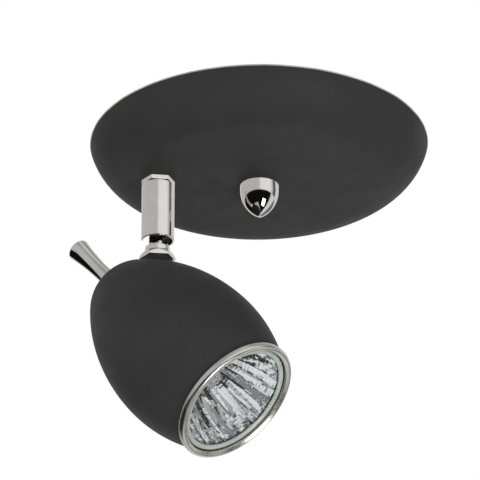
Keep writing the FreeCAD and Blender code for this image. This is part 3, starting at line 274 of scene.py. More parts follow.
# Finishes.
class Wiring:
    """Short hand for the nodes of a material or of the world."""

    def __init__(self, owner, shader="Principled BSDF", coordinates="Object", **constants):
        """Constants go onto the shader's own sockets."""
        owner.use_nodes = True
        self.owner = owner
        self.tree = owner.node_tree
        self.shader = self.tree.nodes[shader]
        self.coordinates = self.tree.nodes.new("ShaderNodeTexCoord").outputs[coordinates]
        for name, value in constants.items():
            self.shader.inputs[name.replace("_", " ")].default_value = value

    def feed(self, socket, value):
        """Link a socket to another, or set a constant on it."""
        if isinstance(value, bpy.types.NodeSocket):
            self.tree.links.new(value, socket)
        else:
            socket.default_value = value

    def node(self, kind, **inputs):
        """A node with linked or constant inputs, named by socket."""
        made = self.tree.nodes.new("ShaderNode" + kind)
        for name, value in inputs.items():
            self.feed(made.inputs[name.replace("_", " ")], value)
        return made

    def noise(self, scale, detail, stretch=None):
        """A noise in the chosen coordinates, stretched along them where told."""
        source = self.coordinates
        if stretch is not None:
            source = self.node("Mapping", Vector=source, Scale=stretch).outputs["Vector"]
        made = self.node("TexNoise", Vector=source, Scale=scale, Detail=detail, Roughness=0.55)
        return made.outputs["Fac"]

    def math(self, operation, first, second):
        """One calculation with two values or sockets."""
        made = self.node("Math")
        made.operation = operation
        self.feed(made.inputs[0], first)
        self.feed(made.inputs[1], second)
        return made.outputs[0]

    def levels(self, source, *stops):
        """A level read off (angle, level) stops, by a share of the way from -180 to 180."""
        made = self.node("ValToRGB", Fac=source)
        ramp = made.color_ramp.elements
        while len(ramp) < len(stops):
            ramp.new(1.0)
        for element, (angle, level) in zip(ramp, stops):
            element.position = (angle + 180) / 360
            element.color = (level, level, level, 1.0)
        return made.outputs["Color"]

    def remap(self, source, low, high, to_low, to_high):
        """A value moved from one range to another, held inside it."""
        made = self.node("MapRange", Value=source, From_Min=low, From_Max=high, To_Min=to_low,
                         To_Max=to_high)
        return made.outputs["Result"]

    def field(self, scale, detail, low, high, to_low, to_high, stretch=None):
        """A noise of a scale and a detail, moved from the range low to high to another range."""
        return self.remap(self.noise(scale, detail, stretch), low, high, to_low, to_high)

    def blend(self, factor, first, second):
        """A colour between two, each a colour or a socket."""
        made = self.node("Mix", Factor=factor)
        made.data_type = "RGBA"
        for socket, value in ((made.inputs[6], first), (made.inputs[7], second)):
            self.feed(socket, (*value, 1.0) if isinstance(value, tuple) else value)
        return made.outputs[2]

    def into(self, name, source):
        """Link a socket to the shader."""
        self.tree.links.new(source, self.shader.inputs[name])

    def bump(self, source, depth, strength):
        """Raise the surface by a value, depth in metres."""
        made = self.node("Bump", Height=source, Distance=depth, Strength=strength)
        self.into("Normal", made.outputs["Normal"])


def paint(name, colours):
    """Fine matt powder coat: a faint mottle, an orange-peel bump and a slightly worn sheen."""
    make = Wiring(bpy.data.materials.new(name), Specular_IOR_Level=colours.paint_gloss)
    dark = tuple(colours.paint[:3])
    light = tuple(min(channel * 1.25, 1.0) for channel in dark)
    shade = make.blend(make.field(60, 4, 0.3, 0.7, 0, 0.5), dark, light)
    specks = make.remap(make.field(2600, 2, 0.35, 0.65, 0, 1), 0.75, 1, 0, 0.12)
    make.into("Base Color", make.blend(specks, shade, (0.12, 0.12, 0.12)))
    make.into("Roughness", make.field(90, 3, 0.3, 0.7, 0.50, 0.60))
    make.bump(make.noise(1500, 2), 0.00003, 0.5)
    return make.owner


def mottled(name, tone, colours, gloss, grain=None, stretch=None, **constants):
    """A finish in which one noise blends two colours, a second one is the roughness and a third
    raises the surface. Tone and gloss are what field takes. Grain is a scale, a detail, a depth
    in metres and a strength."""
    make = Wiring(bpy.data.materials.new(name), **constants)
    make.into("Base Color", make.blend(make.field(*tone), *colours))
    make.into("Roughness", make.field(*gloss, stretch))
    if grain is not None:
        scale, detail, depth, strength = grain
        make.bump(make.noise(scale, detail, stretch), depth, strength)
    return make.owner


# Rows for mottled. Shares stand for colours that are shares of the plate's colour.
FINISHES = {
    # Bright plate: a warm grey mirror with wiped haze and the faintest ripple.
    "polished_chrome": dict(
        tone=(140, 5, 0.35, 0.7, 0, 1), shares=((1, 1, 1), (0.93, 0.93, 0.93)),
        gloss=(320, 4, 0.3, 0.75, 0.035, 0.09), grain=(500, 2, 0.000004, 0.35),
        Metallic=1),
    # The same plate on a spun rim: softer, with a sheen that is drawn out one way.
    "satin_chrome": dict(
        tone=(200, 4, 0.35, 0.7, 0, 1), shares=((0.95, 0.95, 0.95), (0.836, 0.8455, 0.798)),
        gloss=(600, 4, 0.3, 0.75, 0.24, 0.34), Metallic=1, Anisotropic=0.4),
    # Passivated zinc: soft grey metal with blue and straw clouds and short tool lines.
    "zinc_plate": dict(
        tone=(220, 5, 0.3, 0.7, 0, 1), colours=((0.50, 0.53, 0.58), (0.66, 0.64, 0.58)),
        gloss=(300, 3, 0.3, 0.7, 0.26, 0.42), grain=(300, 3, 0.00001, 0.4),
        stretch=(1, 1, 14), Metallic=1),
    # Machined brass, a little tarnished in patches.
    "machined_brass": dict(
        tone=(260, 4, 0.35, 0.7, 0, 1), colours=((0.78, 0.58, 0.26), (0.50, 0.34, 0.14)),
        gloss=(500, 2, 0.3, 0.7, 0.2, 0.36), Metallic=1),
    # Moulded off-white plastic with a fine texture.
    "moulded_plastic": dict(
        tone=(120, 3, 0.3, 0.7, 0, 1), colours=((0.72, 0.71, 0.66), (0.80, 0.79, 0.75)),
        gloss=(400, 2, 0.3, 0.7, 0.42, 0.55), grain=(3000, 1, 0.00002, 0.4),
        Specular_IOR_Level=0.4),
    # Glazed steatite: warm white with pin specks under a gloss that pools unevenly.
    "glazed_ceramic": dict(
        tone=(1700, 1, 0.70, 0.78, 0, 0.6), colours=((0.80, 0.78, 0.73), (0.45, 0.40, 0.33)),
        gloss=(240, 3, 0.3, 0.7, 0.16, 0.34), grain=(260, 2, 0.00004, 0.4)),
    # A pale grey band round the rose's rim, darker in places.
    "pale_rim_band": dict(
        tone=(70, 3, 0.35, 0.7, 0, 1), colours=((0.62, 0.62, 0.60), (0.30, 0.30, 0.30)),
        gloss=(70, 3, 0.35, 0.7, 0.35, 0.55), Metallic=0.3),
    # Vapour-coated glass facets: a cool bright mirror that differs a little in places.
    "facet_mirror": dict(
        tone=(180, 3, 0.35, 0.65, 0, 1), colours=((0.90, 0.92, 0.95), (0.95, 0.95, 0.95)),
        gloss=(700, 3, 0.3, 0.7, 0.02, 0.05), Metallic=1),
    # Uncoated pressed glass: pale grey green, a little cloudy.
    "pressed_glass": dict(
        tone=(150, 3, 0.3, 0.7, 0, 1), colours=((0.40, 0.45, 0.41), (0.52, 0.56, 0.52)),
        gloss=(420, 2, 0.3, 0.7, 0.18, 0.34)),
    # Clear glass, faintly green.
    "clear_glass": dict(
        tone=(90, 2, 0.3, 0.7, 0, 1), colours=((0.965, 0.98, 0.97), (0.98, 0.99, 0.98)),
        gloss=(500, 2, 0.5, 0.8, 0, 0.01), Transmission_Weight=1, IOR=1.47),
    # The capsule's quartz, three quarters opaque.
    "quartz": dict(
        tone=(400, 2, 0.3, 0.7, 0, 1), colours=((0.95, 0.96, 0.97), (0.99, 0.99, 0.99)),
        gloss=(900, 2, 0.4, 0.8, 0, 0.05), Transmission_Weight=0.25, IOR=1.5),
    # Dull drawn wire.
    "tungsten_wire": dict(
        tone=(3000, 2, 0.3, 0.7, 0, 1), colours=((0.35, 0.35, 0.36), (0.55, 0.54, 0.52)),
        gloss=(3000, 2, 0.3, 0.7, 0.3, 0.5), Metallic=1),
}


def finish(name):
    """A finish by name, made once."""
    own = "spot_" + name
    found = bpy.data.materials.get(own)
    if found is not None:
        return found
    settings = bpy.context.scene.spot_colours
    if name == "powder_coat":
        return paint(own, settings)
    row = dict(FINISHES[name])
    if "shares" in row:
        row["colours"] = [tuple(np.array(share) * settings.chrome[:3])
                          for share in row.pop("shares")]
    return mottled(own, **row)


# Settings.
def size(default, text):
    """A length in millimetres, a turn in degrees or a level."""
    return bpy.props.FloatProperty(name=text, default=default, min=0.0)


def colour(default, text):
    """A colour that the user can pick."""
    return bpy.props.FloatVectorProperty(name=text, subtype="COLOR", size=4, min=0.0, max=1.0,
                                         default=default)


class SpotSizes(bpy.types.PropertyGroup):
    """Sizes of the visible skins, in millimetres and degrees."""

    rose_wall_mm: size(0.8, "Thickness of the rose's sheet")
    rose_flat_mm: size(52.5, "Radius of the rose's gently crowned part")
    rose_crown_mm: size(1.3, "Height of the rose's crown in the middle")
    # Height of the pale grey band along the top of the rose's rim.
    rose_edge_mm: size(0.5, "Height of the rose's unpainted edge")
    cap_band_mm: size(2.2, "Height of the cap nut's plain band")
    cap_tip_mm: size(2.4, "Radius of the cap nut's rounded tip")
    collar_turn_deg: size(3.0, "Turn of the hexagonal collar about its axis")
    sleeve_radius_mm: size(7.2, "Outer radius of the slotted sleeve")
    sleeve_wall_mm: size(0.8, "Thickness of the sleeve's wall")
    slot_top_mm: size(1.2, "From the pivot down to the top of the slot")
    slot_half_mm: size(3.38, "Half the width of the slot, at the wall's inside")
    neck_width_mm: size(6.5, "Width of the square neck across its flats")
    neck_chamfer_mm: size(0.9, "Chamfer along the neck's four edges")
    neck_square_end_mm: size(10.85, "From the pivot to the neck's round collar")
    neck_collar_radius_mm: size(5.45, "Radius of the neck's round collar")
    neck_collar_mm: size(2.5, "Height of the neck's round collar")
    nut_flats_mm: size(13.7, "Width across the neck nut's flats")
    nut_turn_deg: size(33.0, "Turn of the neck nut about its axis")
    nut_rim_mm: size(1.0, "Height of the nut's flats at its corners")
    shade_wall_mm: size(0.9, "Thickness of the shade's sheet")
    shade_mouth_mm: size(27.15, "Radius of the shade's mouth")
    shade_radius_mm: size(34.0, "Radius of the shade where it is widest")
    shade_front_mm: size(29.75, "From the shade's mouth to its widest circle")
    shade_back_mm: size(58.0, "From the shade's widest circle to its pole")
    shade_nose_mm: size(22.0, "Radius of the shade's rounded pole")
    ring_radius_mm: size(28.6, "Outer radius of the front ring")
    ring_bore_mm: size(25.7, "Radius of the front ring's opening")
    ring_height_mm: size(3.8, "Height of the ring outside the shade")
    lever_length_mm: size(27.2, "From the shade's pole to the lever's end")
    lever_waist_mm: size(3.5, "Radius of the lever where it is thinnest")
    lever_back_mm: size(6.5, "From the shade's pole to the lever's waist")
    lever_end_mm: size(5.0, "Radius of the lever's flared end")
    soft_edge_mm: size(0.15, "Size of the eased edges on turned metal")
    facet_depth_mm: size(0.55, "Depth of the steps between pleats")
    pleats: bpy.props.IntProperty(
        name="Pleats round the lamp's reflector", default=32, min=8, max=96)
    facet_rows: bpy.props.IntProperty(
        name="Rows of facets from rim to throat", default=20, min=4, max=40)


class SpotColours(bpy.types.PropertyGroup):
    """Colours and sheen of the main finishes."""

    paint: colour((0.034, 0.033, 0.033, 1.0), "Colour of the rose's and shade's powder coat")
    paint_gloss: size(0.12, "Specular level of the powder coat")
    chrome: colour((0.71, 0.70, 0.67, 1.0), "Colour of the bright plate")


class Piece:
    """What the operators share."""

    bl_options = {"REGISTER", "UNDO"}


# Rose. The bore is that of the thread in the swivel collar and in the neck nut.
THREAD_BORE = 4.03


class SPOT_OT_rose(Piece, bpy.types.Operator):
    """Spun dish of the ceiling rose: one crowned arc that runs into one shoulder arc"""

    bl_idname = "spot.rose"
    bl_label = "Ceiling rose"

    def execute(self, context):
        sizes = context.scene.spot_sizes
        low, high = span("canopy_shell")
        radius, depth = high[0], -low[2]
        flat, crown, wall = sizes.rose_flat_mm, sizes.rose_crown_mm, sizes.rose_wall_mm
        arc = (flat ** 2 + crown ** 2) / (2 * crown)
        fall, run = depth - crown, radius - flat
        shoulder = (run ** 2 + fall ** 2) * arc / (2 * ((arc - crown) * fall - flat * run))
        hub = np.array([flat - shoulder * flat / arc, -fall + shoulder * (arc - crown) / arc])
        inner_flat = flat * (arc - wall) / arc
        hole, edge = 2.75, sizes.rose_edge_mm

        def crown_at(reach, inset):
            """Height of the crown at a radius, inset from the skin."""
            return arc - depth - math.sqrt((arc - inset) ** 2 - reach ** 2)

        def shoulder_at(height, inset):
            """Radius of the shoulder at a height, inset from the skin."""
            return hub[0] + math.sqrt((shoulder - inset) ** 2 - (height - hub[1]) ** 2)

        reach, inner_reach = shoulder_at(-edge, 0), shoulder_at(-edge, wall)
        # A pale grey band round the top of the rim, as a piece of its own.
        bare = profile([(inner_reach, -edge + 0.01), (reach, -edge + 0.01), (radius, 0),
                        (shoulder_at(0, wall), 0)], soft=0.0)
        rim = piece(turned("rose_edge", bare, ROSE, turns=256), "rose", "pale_rim_band", "rose_paint")
        outline = profile([
            (hole, crown_at(hole, 0), arc, "left"), (flat, -fall, shoulder, "left"),
            (reach, -edge), (inner_reach, -edge, shoulder - wall, "right"),
            (inner_flat, crown_at(inner_flat, wall), arc - wall, "right"),
            (hole, crown_at(hole, wall))], soft=0.15, step=1.5)
        dish = piece(turned("rose_dish", outline, ROSE, turns=256), "rose", "powder_coat",
                     "rose_paint", "canopy_shell")
        rim.visible_glossy = dish.visible_glossy = False
        return {"FINISHED"}


class SPOT_OT_cap_nut(Piece, bpy.types.Operator):
    """Pointed cap nut with a plain band and a rounded tip"""

    bl_idname = "spot.cap_nut"
    bl_label = "Cap nut"

    def execute(self, context):
        sizes = context.scene.spot_sizes
        low, high = span("cap_nut")
        radius, top, tip = high[0], high[2], low[2]
        band, nose, bore, deep = sizes.cap_band_mm, sizes.cap_tip_mm, 2.53, 10.0
        rise = top - tip - band
        run = rise - nose
        arc = (radius ** 2 + run ** 2 - nose ** 2) / (2 * (radius - nose))
        offset = arc - radius
        meet = (arc * offset / (arc - nose) - offset, top - band - arc * run / (arc - nose))
        outline = profile([
            (0, tip, nose, "left"), (*meet, arc, "left"), (radius, top - band), (radius, top),
            (bore, top), (bore, top - deep), (0, top - deep)],
            soft=sizes.soft_edge_mm, closed=False, step=2.5)
        piece(turned("cap_nut_skin", outline, ROSE), "rose", *CHROME, "cap_nut")
        return {"FINISHED"}


class SPOT_OT_swivel(Piece, bpy.types.Operator):
    """Hexagonal collar under the rose, with both faces chamfered to a circle"""

    bl_idname = "spot.swivel"
    bl_label = "Swivel collar"

    def execute(self, context):
        low, high = span("swivel_collar")
        turned_by = context.scene.spot_sizes.collar_turn_deg
        top, bottom, width = high[2], low[2], high[0] - low[0]
        flats = width * math.sqrt(3) / 2 / math.cos(math.radians(turned_by))
        corner = flats / math.sqrt(3)
        beyond = corner + 0.2
        outline = profile([
            (THREAD_BORE, bottom), (corner - 0.25, bottom), (beyond, bottom + 0.3),
            (beyond, top - 0.1), (corner, top), (THREAD_BORE, top)], soft=0.08)
        made = turned("swivel_collar_skin", outline, SWIVEL, turns=192,
                      reach=hexagon(flats, turned_by), smooth=25)
        piece(made, "rose", *CHROME, "swivel_collar")
        return {"FINISHED"}


# Arm.
class SPOT_OT_sleeve(Piece, bpy.types.Operator):
    """Slotted sleeve: a tube wall on a grid of angle and height that skips the slot"""

    bl_idname = "spot.sleeve"
    bl_label = "Slotted sleeve"

    def execute(self, context):
        low, high = span("slotted_sleeve")
        top, bottom = high[2] - HEAD.origin[2], low[2] - HEAD.origin[2]
        sizes = context.scene.spot_sizes
        radius, wall, slot_top = sizes.sleeve_radius_mm, sizes.sleeve_wall_mm, -sizes.slot_top_mm
        inside, lip, edge = radius - wall, 4.05, 0.35
        gap = math.asin(sizes.slot_half_mm / inside)
        angle = np.unique(np.concatenate([
            np.linspace(-math.pi + gap, math.pi - gap, 141),
            np.linspace(math.pi - gap, math.pi + gap, 27)]))
        ease = np.linspace(0, math.pi / 2, 6)
        eased = radius - edge + edge * np.cos(ease)
        rim = np.stack([eased, top - edge + edge * np.sin(ease)], 1)
        foot = np.stack([eased, bottom + edge - edge * np.sin(ease)], 1)[::-1]
        side = [(radius, height) for height in (
            bottom + edge * 1.5, bottom + 3.0, slot_top - 0.6, slot_top, slot_top + 1.5,
            top - edge * 1.5)]
        within = [(inside, height) for height in (
            top - wall, slot_top, bottom + 0.6, bottom + 0.1)]
        path = np.concatenate([foot, side, rim, [(lip, top), (lip, top - wall)], within,
                               [(inside + 0.1, bottom)]])
        faces = grid_faces(len(path), len(angle), True, False)
        first_angle = angle[(faces % len(angle)).min(axis=1)]
        top_height = path[:, 1][faces // len(angle)].max(axis=1)
        in_slot = (first_angle >= math.pi - gap - 1e-6) & (top_height <= slot_top + 1e-6)
        made = mesh_from("slotted_sleeve_skin", around(path[:, :1], angle, path[:, 1:]),
                         faces[~in_slot], HEAD, smooth=30)
        close_slot(made, smooth=30)
        piece(made, "arm", *CHROME, "slotted_sleeve")
        return {"FINISHED"}


def close_slot(mesh, smooth):
    """Bridge the open edges of a slot between the outer and the inner wall."""
    work = bmesh.new()
    work.from_mesh(mesh)
    rim = [edge for edge in work.edges if edge.is_boundary]
    bmesh.ops.holes_fill(work, edges=rim, sides=0)
    settle(work, mesh, smooth)


# Neck.
class SPOT_OT_neck(Piece, bpy.types.Operator):
    """Neck: round-topped tongue, chamfered square, round collar and threaded stub"""

    bl_idname = "spot.neck"
    bl_label = "Neck"

    def execute(self, context):
        stub_end = span("neck")[0][2] - HEAD.origin[2]
        sizes = context.scene.spot_sizes
        half, shoulder = sizes.neck_width_mm / 2, sizes.neck_square_end_mm
        foot, wide = shoulder + sizes.neck_collar_mm, sizes.neck_collar_radius_mm
        flat = half - sizes.neck_chamfer_mm
        section = profile([(half, -flat), (half, flat), (flat, half), (-flat, half),
                           (-half, flat), (-half, -flat), (-flat, -half), (flat, -half)])
        top, thick = -4.6, 2.5
        levels = np.array([-shoulder, -shoulder + 0.1, top - 0.35, top - 0.2, top - 0.06, top])
        scale = 1 - np.array([[0], [0], [0], [0.05], [0.18], [0.45]]) / half
        rings = np.stack(np.broadcast_arrays(
            scale * section[:, 0], scale * section[:, 1], levels[:, None]), axis=-1)
        points = capped(rings, (0, 0, levels[0]), (0, 0, top))
        faces = grid_faces(len(points), len(section), False, True)
        piece(mesh_from("neck_square", points, faces, HEAD, smooth=30), "head", *CHROME, "neck")
        turn = np.linspace(0, math.pi, 25)
        outline = np.concatenate([np.stack([half * np.cos(turn), half * np.sin(turn)], 1),
                                  [(-half, top - 0.3), (half, top - 0.3)]])
        wide_at = np.array([-thick, -thick, -2.42, 2.42, thick, thick])
        eased = 1 - 0.06 / half
        grow = np.array([0.0, eased, 1.0, 1.0, eased, 0.0])[:, None]
        plate = np.stack(np.broadcast_arrays(
            grow * outline[:, 0], wide_at[:, None], grow * outline[:, 1]), axis=-1)
        faces = grid_faces(len(plate), len(outline), False, True)
        piece(mesh_from("neck_tongue", plate, faces, HEAD, smooth=30), "head", *CHROME)
        collar = profile([(0, -foot), (wide, -foot), (wide, -shoulder), (0, -shoulder)],
                         soft=0.3, closed=False)
        piece(turned("neck_collar", collar, HEAD, closed=False), "head", *CHROME)
        radius, pitch, bore = 4.0, 1.0, 2.2
        stub = threaded("neck_stub", radius, pitch, THREAD_DEPTH, stub_end, -foot, HEAD, bore)
        piece(stub, "head", "zinc_plate", "zinc_steel")
        piece(self.nut(sizes), "head", *CHROME, "neck_nut")
        return {"FINISHED"}

    def nut(self, sizes):
        """A hexagon bar cut at its top by a cone: radius is the smaller of the hexagon's reach
        and the cone's, so that each flat ends in a curved edge."""
        bottom, top = (corner[2] - HEAD.origin[2] for corner in span("neck_nut"))
        flats, rim = sizes.nut_flats_mm, sizes.nut_rim_mm
        corner, narrow = flats / math.sqrt(3), 5.9
        slope = np.linspace(0, 1, 14)
        cone = np.stack([narrow + (corner + 0.05 - narrow) * slope,
                         top - (top - bottom - rim) * slope], 1)
        wall = [(corner + 0.1, bottom + rim * 0.9), (corner + 0.1, bottom + 0.2),
                (corner - 0.05, bottom + 0.06), (corner - 0.3, bottom), (THREAD_BORE, bottom),
                (THREAD_BORE, top)]
        return turned("neck_nut_skin", np.concatenate([cone, wall]), HEAD, turns=240,
                      reach=hexagon(flats, sizes.nut_turn_deg), smooth=22)


# Shade.
def side_outline(inset, sizes):
    """The shade's profile, on its skin or inset from it: radius of the mouth, widest point,
    point where the nose starts, and the radii of the front, back and nose arcs."""
    mouth, widest, front = sizes.shade_mouth_mm, sizes.shade_radius_mm, sizes.shade_front_mm
    back, nose = sizes.shade_back_mm, sizes.shade_nose_mm
    front_arc = (front ** 2 + (widest - mouth) ** 2) / (2 * (widest - mouth))
    run = back - nose
    back_arc = (widest ** 2 + run ** 2 - nose ** 2) / (2 * (widest - nose))
    offset = back_arc - widest
    share = offset / (back_arc - nose)
    start = math.sqrt((front_arc - inset) ** 2 - front ** 2) + widest - front_arc
    arc = back_arc - inset
    meet = (arc * share - offset, front + arc * run / (back_arc - nose))
    return start, (widest - inset, front), meet, front_arc - inset, arc, nose - inset


class SPOT_OT_shade(Piece, bpy.types.Operator):
    """Egg-shaped shade: two side arcs that meet at the widest circle, and a rounded pole"""

    bl_idname = "spot.shade"
    bl_label = "Shade"

    def execute(self, context):
        sizes = context.scene.spot_sizes
        centre = sizes.shade_front_mm + sizes.shade_back_mm - sizes.shade_nose_mm
        out = side_outline(0.0, sizes)
        inn = side_outline(sizes.shade_wall_mm, sizes)
        hole = 2.25
        outline = profile([
            (out[0], 0, out[3], "left"), (*out[1], out[4], "left"), (*out[2], out[5], "left"),
            (hole, centre + math.sqrt(out[5] ** 2 - hole ** 2)),
            (hole, centre + math.sqrt(inn[5] ** 2 - hole ** 2), inn[5], "right"),
            (*inn[2], inn[4], "right"), (*inn[1], inn[3], "right"), (inn[0], 0)],
            soft=0.15, step=1.5)
        piece(turned("shade_shell", outline, SHADE, turns=256), "head", "powder_coat",
              "shade_paint", "shade")
        return {"FINISHED"}


class SPOT_OT_ring(Piece, bpy.types.Operator):
    """Front ring: rounded rim, sloped throat and a spigot inside the shade"""

    bl_idname = "spot.ring"
    bl_label = "Front ring"

    def execute(self, context):
        sizes = context.scene.spot_sizes
        outer, bore, height = sizes.ring_radius_mm, sizes.ring_bore_mm, sizes.ring_height_mm
        spigot, deep, slope, nose, heel = bore + 0.45, 4.0, 1.0, 1.6, 1.3
        outline = profile([
            (bore, deep), (bore, -height + slope), (outer - nose, -height, nose, "left"),
            (outer, -height + nose), (outer, -heel, heel, "left"), (outer - heel, 0),
            (spigot, 0), (spigot, deep)], soft=0.2, step=6)
        piece(turned("front_ring_skin", outline, SHADE, turns=256), "head", "satin_chrome",
              "bright_chrome", "front_ring")
        return {"FINISHED"}


class SPOT_OT_lever(Piece, bpy.types.Operator):
    """Turning lever: a waisted stem that flares to a domed end"""

    bl_idname = "spot.lever"
    bl_label = "Lever"

    def execute(self, context):
        sizes = context.scene.spot_sizes
        nose = sizes.shade_nose_mm
        pole = sizes.shade_front_mm + sizes.shade_back_mm
        length, dome, edge = sizes.lever_length_mm, 1.0, 0.8
        waist, back, end_radius = sizes.lever_waist_mm, sizes.lever_back_mm, sizes.lever_end_mm
        run = length - dome - edge - back
        rise = end_radius - waist
        arc = (run ** 2 + rise ** 2) / (2 * rise)
        foot = waist + arc - math.sqrt(arc ** 2 - back ** 2)
        rim = end_radius - edge
        end = pole + length
        outline = profile([
            (0, pole + 0.02), (foot, pole - nose + math.sqrt(nose ** 2 - foot ** 2)),
            (foot, pole, arc, "right"), (waist, pole + back, arc, "right"),
            (end_radius, end - dome - edge, edge, "left"),
            (rim, end - dome, (rim ** 2 + dome ** 2) / (2 * dome), "left"), (0, end)],
            soft=0.1, closed=False, step=2)
        piece(turned("lever_skin", outline, SHADE, closed=False), "head", *CHROME, "lever")
        return {"FINISHED"}


# Lamp, with heights from the shade's mouth.
GLASS_FRONT = -1.0
GLASS_BACK = GLASS_FRONT + 1.8
GLASS_RADIUS = 25.3
BOWL_ARC, BOWL_RIM, BOWL_THROAT, BOWL_WALL = 44.0, 22.95, 8.5, 1.15
THROAT = GLASS_BACK + 33.0


class SPOT_OT_lamp(Piece, bpy.types.Operator):
    """Reflector lamp: clear front glass, pleated and facetted bowl, capsule and coiled filament"""

    bl_idname = "spot.lamp"
    bl_label = "Lamp"

    def execute(self, context):
        front, back, wide = GLASS_FRONT, GLASS_BACK, GLASS_RADIUS
        glass = profile([(0, front), (24.3, front), (wide, front + 1.0), (wide, back),
                         (0, back)], closed=False)
        piece(turned("lamp_glass_skin", glass, SHADE, closed=False, turns=192), "lamp",
              "clear_glass", "lamp_clear_glass", "lamp_front_glass")
        foot, crest, outer = front + 0.02, front - 1.0, 25.35
        rim = profile([(23.1, foot), (23.3, front - 0.5), (24.0, crest), (24.9, crest),
                       (outer, front - 0.6), (outer, foot)], soft=0.2)
        piece(turned("lamp_glass_rim", rim, SHADE, turns=192), "lamp", "pressed_glass",
              "lamp_clear_glass")
        piece(self.bowl(context.scene.spot_sizes), "lamp", "facet_mirror", "lamp_mirror",
              "lamp_reflector")
        piece(self.body(), "lamp", "pressed_glass", "lamp_clear_glass")
        piece(self.capsule(), "lamp", "quartz", "lamp_capsule_glass", "lamp_capsule")
        piece(self.coil(), "lamp", "tungsten_wire", "lamp_tungsten", "lamp_filament")
        return {"FINISHED"}

    def bowl(self, sizes):
        """Bowl: an arc turned round the axis in flat facets. Each pleat has two faces, one twice
        as wide as the other, and every second row is turned a little, so that the edges run in
        small steps. A smooth skin a little further out closes it."""
        ends = np.array([(BOWL_RIM, GLASS_BACK + 0.05), (BOWL_THROAT, GLASS_BACK + 30.0)])
        arc = arc_points(*ends, BOWL_ARC, "left", 1.0)
        rows = np.linspace(0, len(arc) - 1, sizes.facet_rows + 1).round().astype(int)
        path = arc[rows]
        pitch = 2 * math.pi / sizes.pleats
        across = (np.arange(sizes.pleats)[:, None] + np.array([0.0, 0.67])).ravel() * pitch
        step = np.where(np.arange(len(path)) % 2 == 0, 1.0, -1.0)[:, None] * pitch * 0.006
        depth = sizes.facet_depth_mm * path[:, :1] / BOWL_RIM
        radius = path[:, :1] + depth * np.tile([1.0, 0.0], sizes.pleats)
        outer = (path + np.array([BOWL_WALL, 0.0]))[::-1]
        grid = np.concatenate([around(radius, across + step, path[:, 1:]),
                               around(outer[:, :1], across, outer[:, 1:])])
        return mesh_from("reflector_bowl", grid, grid_faces(len(grid), len(across), True, True),
                         SHADE, smooth=0)

    def body(self):
        """Pressed body behind the mirror: a flange that meets the front glass, and a curved
        back."""
        face, step_back = GLASS_BACK + 0.04, GLASS_BACK + 2.8
        outline = profile([
            (24.15, face), (GLASS_RADIUS, face), (GLASS_RADIUS, step_back),
            (24.6, step_back, BOWL_ARC, "left"), (10.9, THROAT), (9.9, THROAT),
            (9.9, GLASS_BACK + 30.05, BOWL_ARC, "right")], soft=0.1, step=3)
        return turned("reflector_body", outline, SHADE, turns=192)

    def capsule(self):
        """Capsule: a tube with a domed end that is drawn out to a sealed tip."""
        radius, bore = 4.7, 3.9
        dome = THROAT - 21.5 + radius
        outer = profile([
            (0, dome - 5.6), (0.7, dome - 5.3), (1.0, dome - 4.62, radius, "left"),
            (radius, dome), (radius, THROAT), (bore, THROAT)], soft=0.1, closed=False)
        inner = profile([(bore, THROAT), (bore, dome, bore, "right"), (0.9, dome - 3.85),
                         (0.0, dome - 4.4)], soft=0, closed=False)
        return turned("capsule_skin", np.concatenate([outer, inner]), SHADE, closed=False,
                      turns=64)

    def coil(self):
        """Filament: a helix of small radius across the axis, on two straight legs, as a tube."""
        height, turns, radius, half, wire = THROAT - 10.0, 11, 0.55, 2.0, 0.16
        t = np.linspace(0, 1, turns * 14)
        helix = np.stack([-half + 2 * half * t, radius * np.cos(2 * math.pi * turns * t),
                          height + radius * np.sin(2 * math.pi * turns * t)], 1)
        legs = [np.stack([np.full(6, x), np.full(6, radius), np.linspace(THROAT, height, 6)], 1)
                for x in (-half, half)]
        line = np.concatenate([legs[0], helix, legs[1][::-1]])
        return tube("filament_coil", line, wire, SHADE, 8)


def tube(name, line, radius, axes, sides):
    """A round tube along a line: rings square to its direction, each begun square to one fixed
    guide, with closed ends."""
    ahead = unit(np.gradient(line, axis=0))
    across = unit(np.cross(ahead, (0.31, 0.86, 0.41)))
    third = np.cross(ahead, across)
    angle = np.linspace(0, 2 * math.pi, sides, endpoint=False)
    ring = (across[:, None] * np.cos(angle)[:, None]
            + third[:, None] * np.sin(angle)[:, None]) * radius
    grid = capped(line[:, None] + ring, line[0], line[-1])
    return mesh_from(name, grid, grid_faces(len(grid), sides, False, True), axes, smooth=60)


# Inside and behind.
ZINC_IN_ROSE = ("ceiling_bracket", "stud_nuts", "block_screws", "earth_nut", "earth_washer",
                "earth_screw", "swivel_nipple", "swivel_lock_washer", "swivel_nut")
TERMINALS = ("terminal_sleeves", "terminal_screws")


class SPOT_OT_inner(Piece, bpy.types.Operator):
    """Thread of the stud, and the finishes of the pieces kept from the frame"""

    bl_idname = "spot.inner"
    bl_label = "Inner pieces"

    def execute(self, context):
        low, high = span("centre_stud")
        radius, pitch = 2.5, 0.8
        stud = threaded("stud_thread", radius, pitch, THREAD_DEPTH, low[2], high[2], ROSE)
        piece(stud, "rose", "zinc_plate", "zinc_steel", "centre_stud")
        coat("zinc_plate", *ZINC_IN_ROSE, "fork", "stop_pin", "inner_saddle", "stub_nut",
             "lever_screw", "holder_bracket", "holder_screws")
        coat("polished_chrome", "pivot_screw")
        coat("powder_coat", "saddle_washer", "swivel_washer")
        coat("machined_brass", *TERMINALS, "holder_contacts", "lamp_pins")
        coat("moulded_plastic", "terminal_block", "tilt_washers")
        coat("glazed_ceramic", "lampholder", "lampholder_cap", "lamp_base")
        for node in (*ZINC_IN_ROSE, *TERMINALS, "terminal_block"):
            frame["nodes"][node].visible_glossy = False
        return {"FINISHED"}


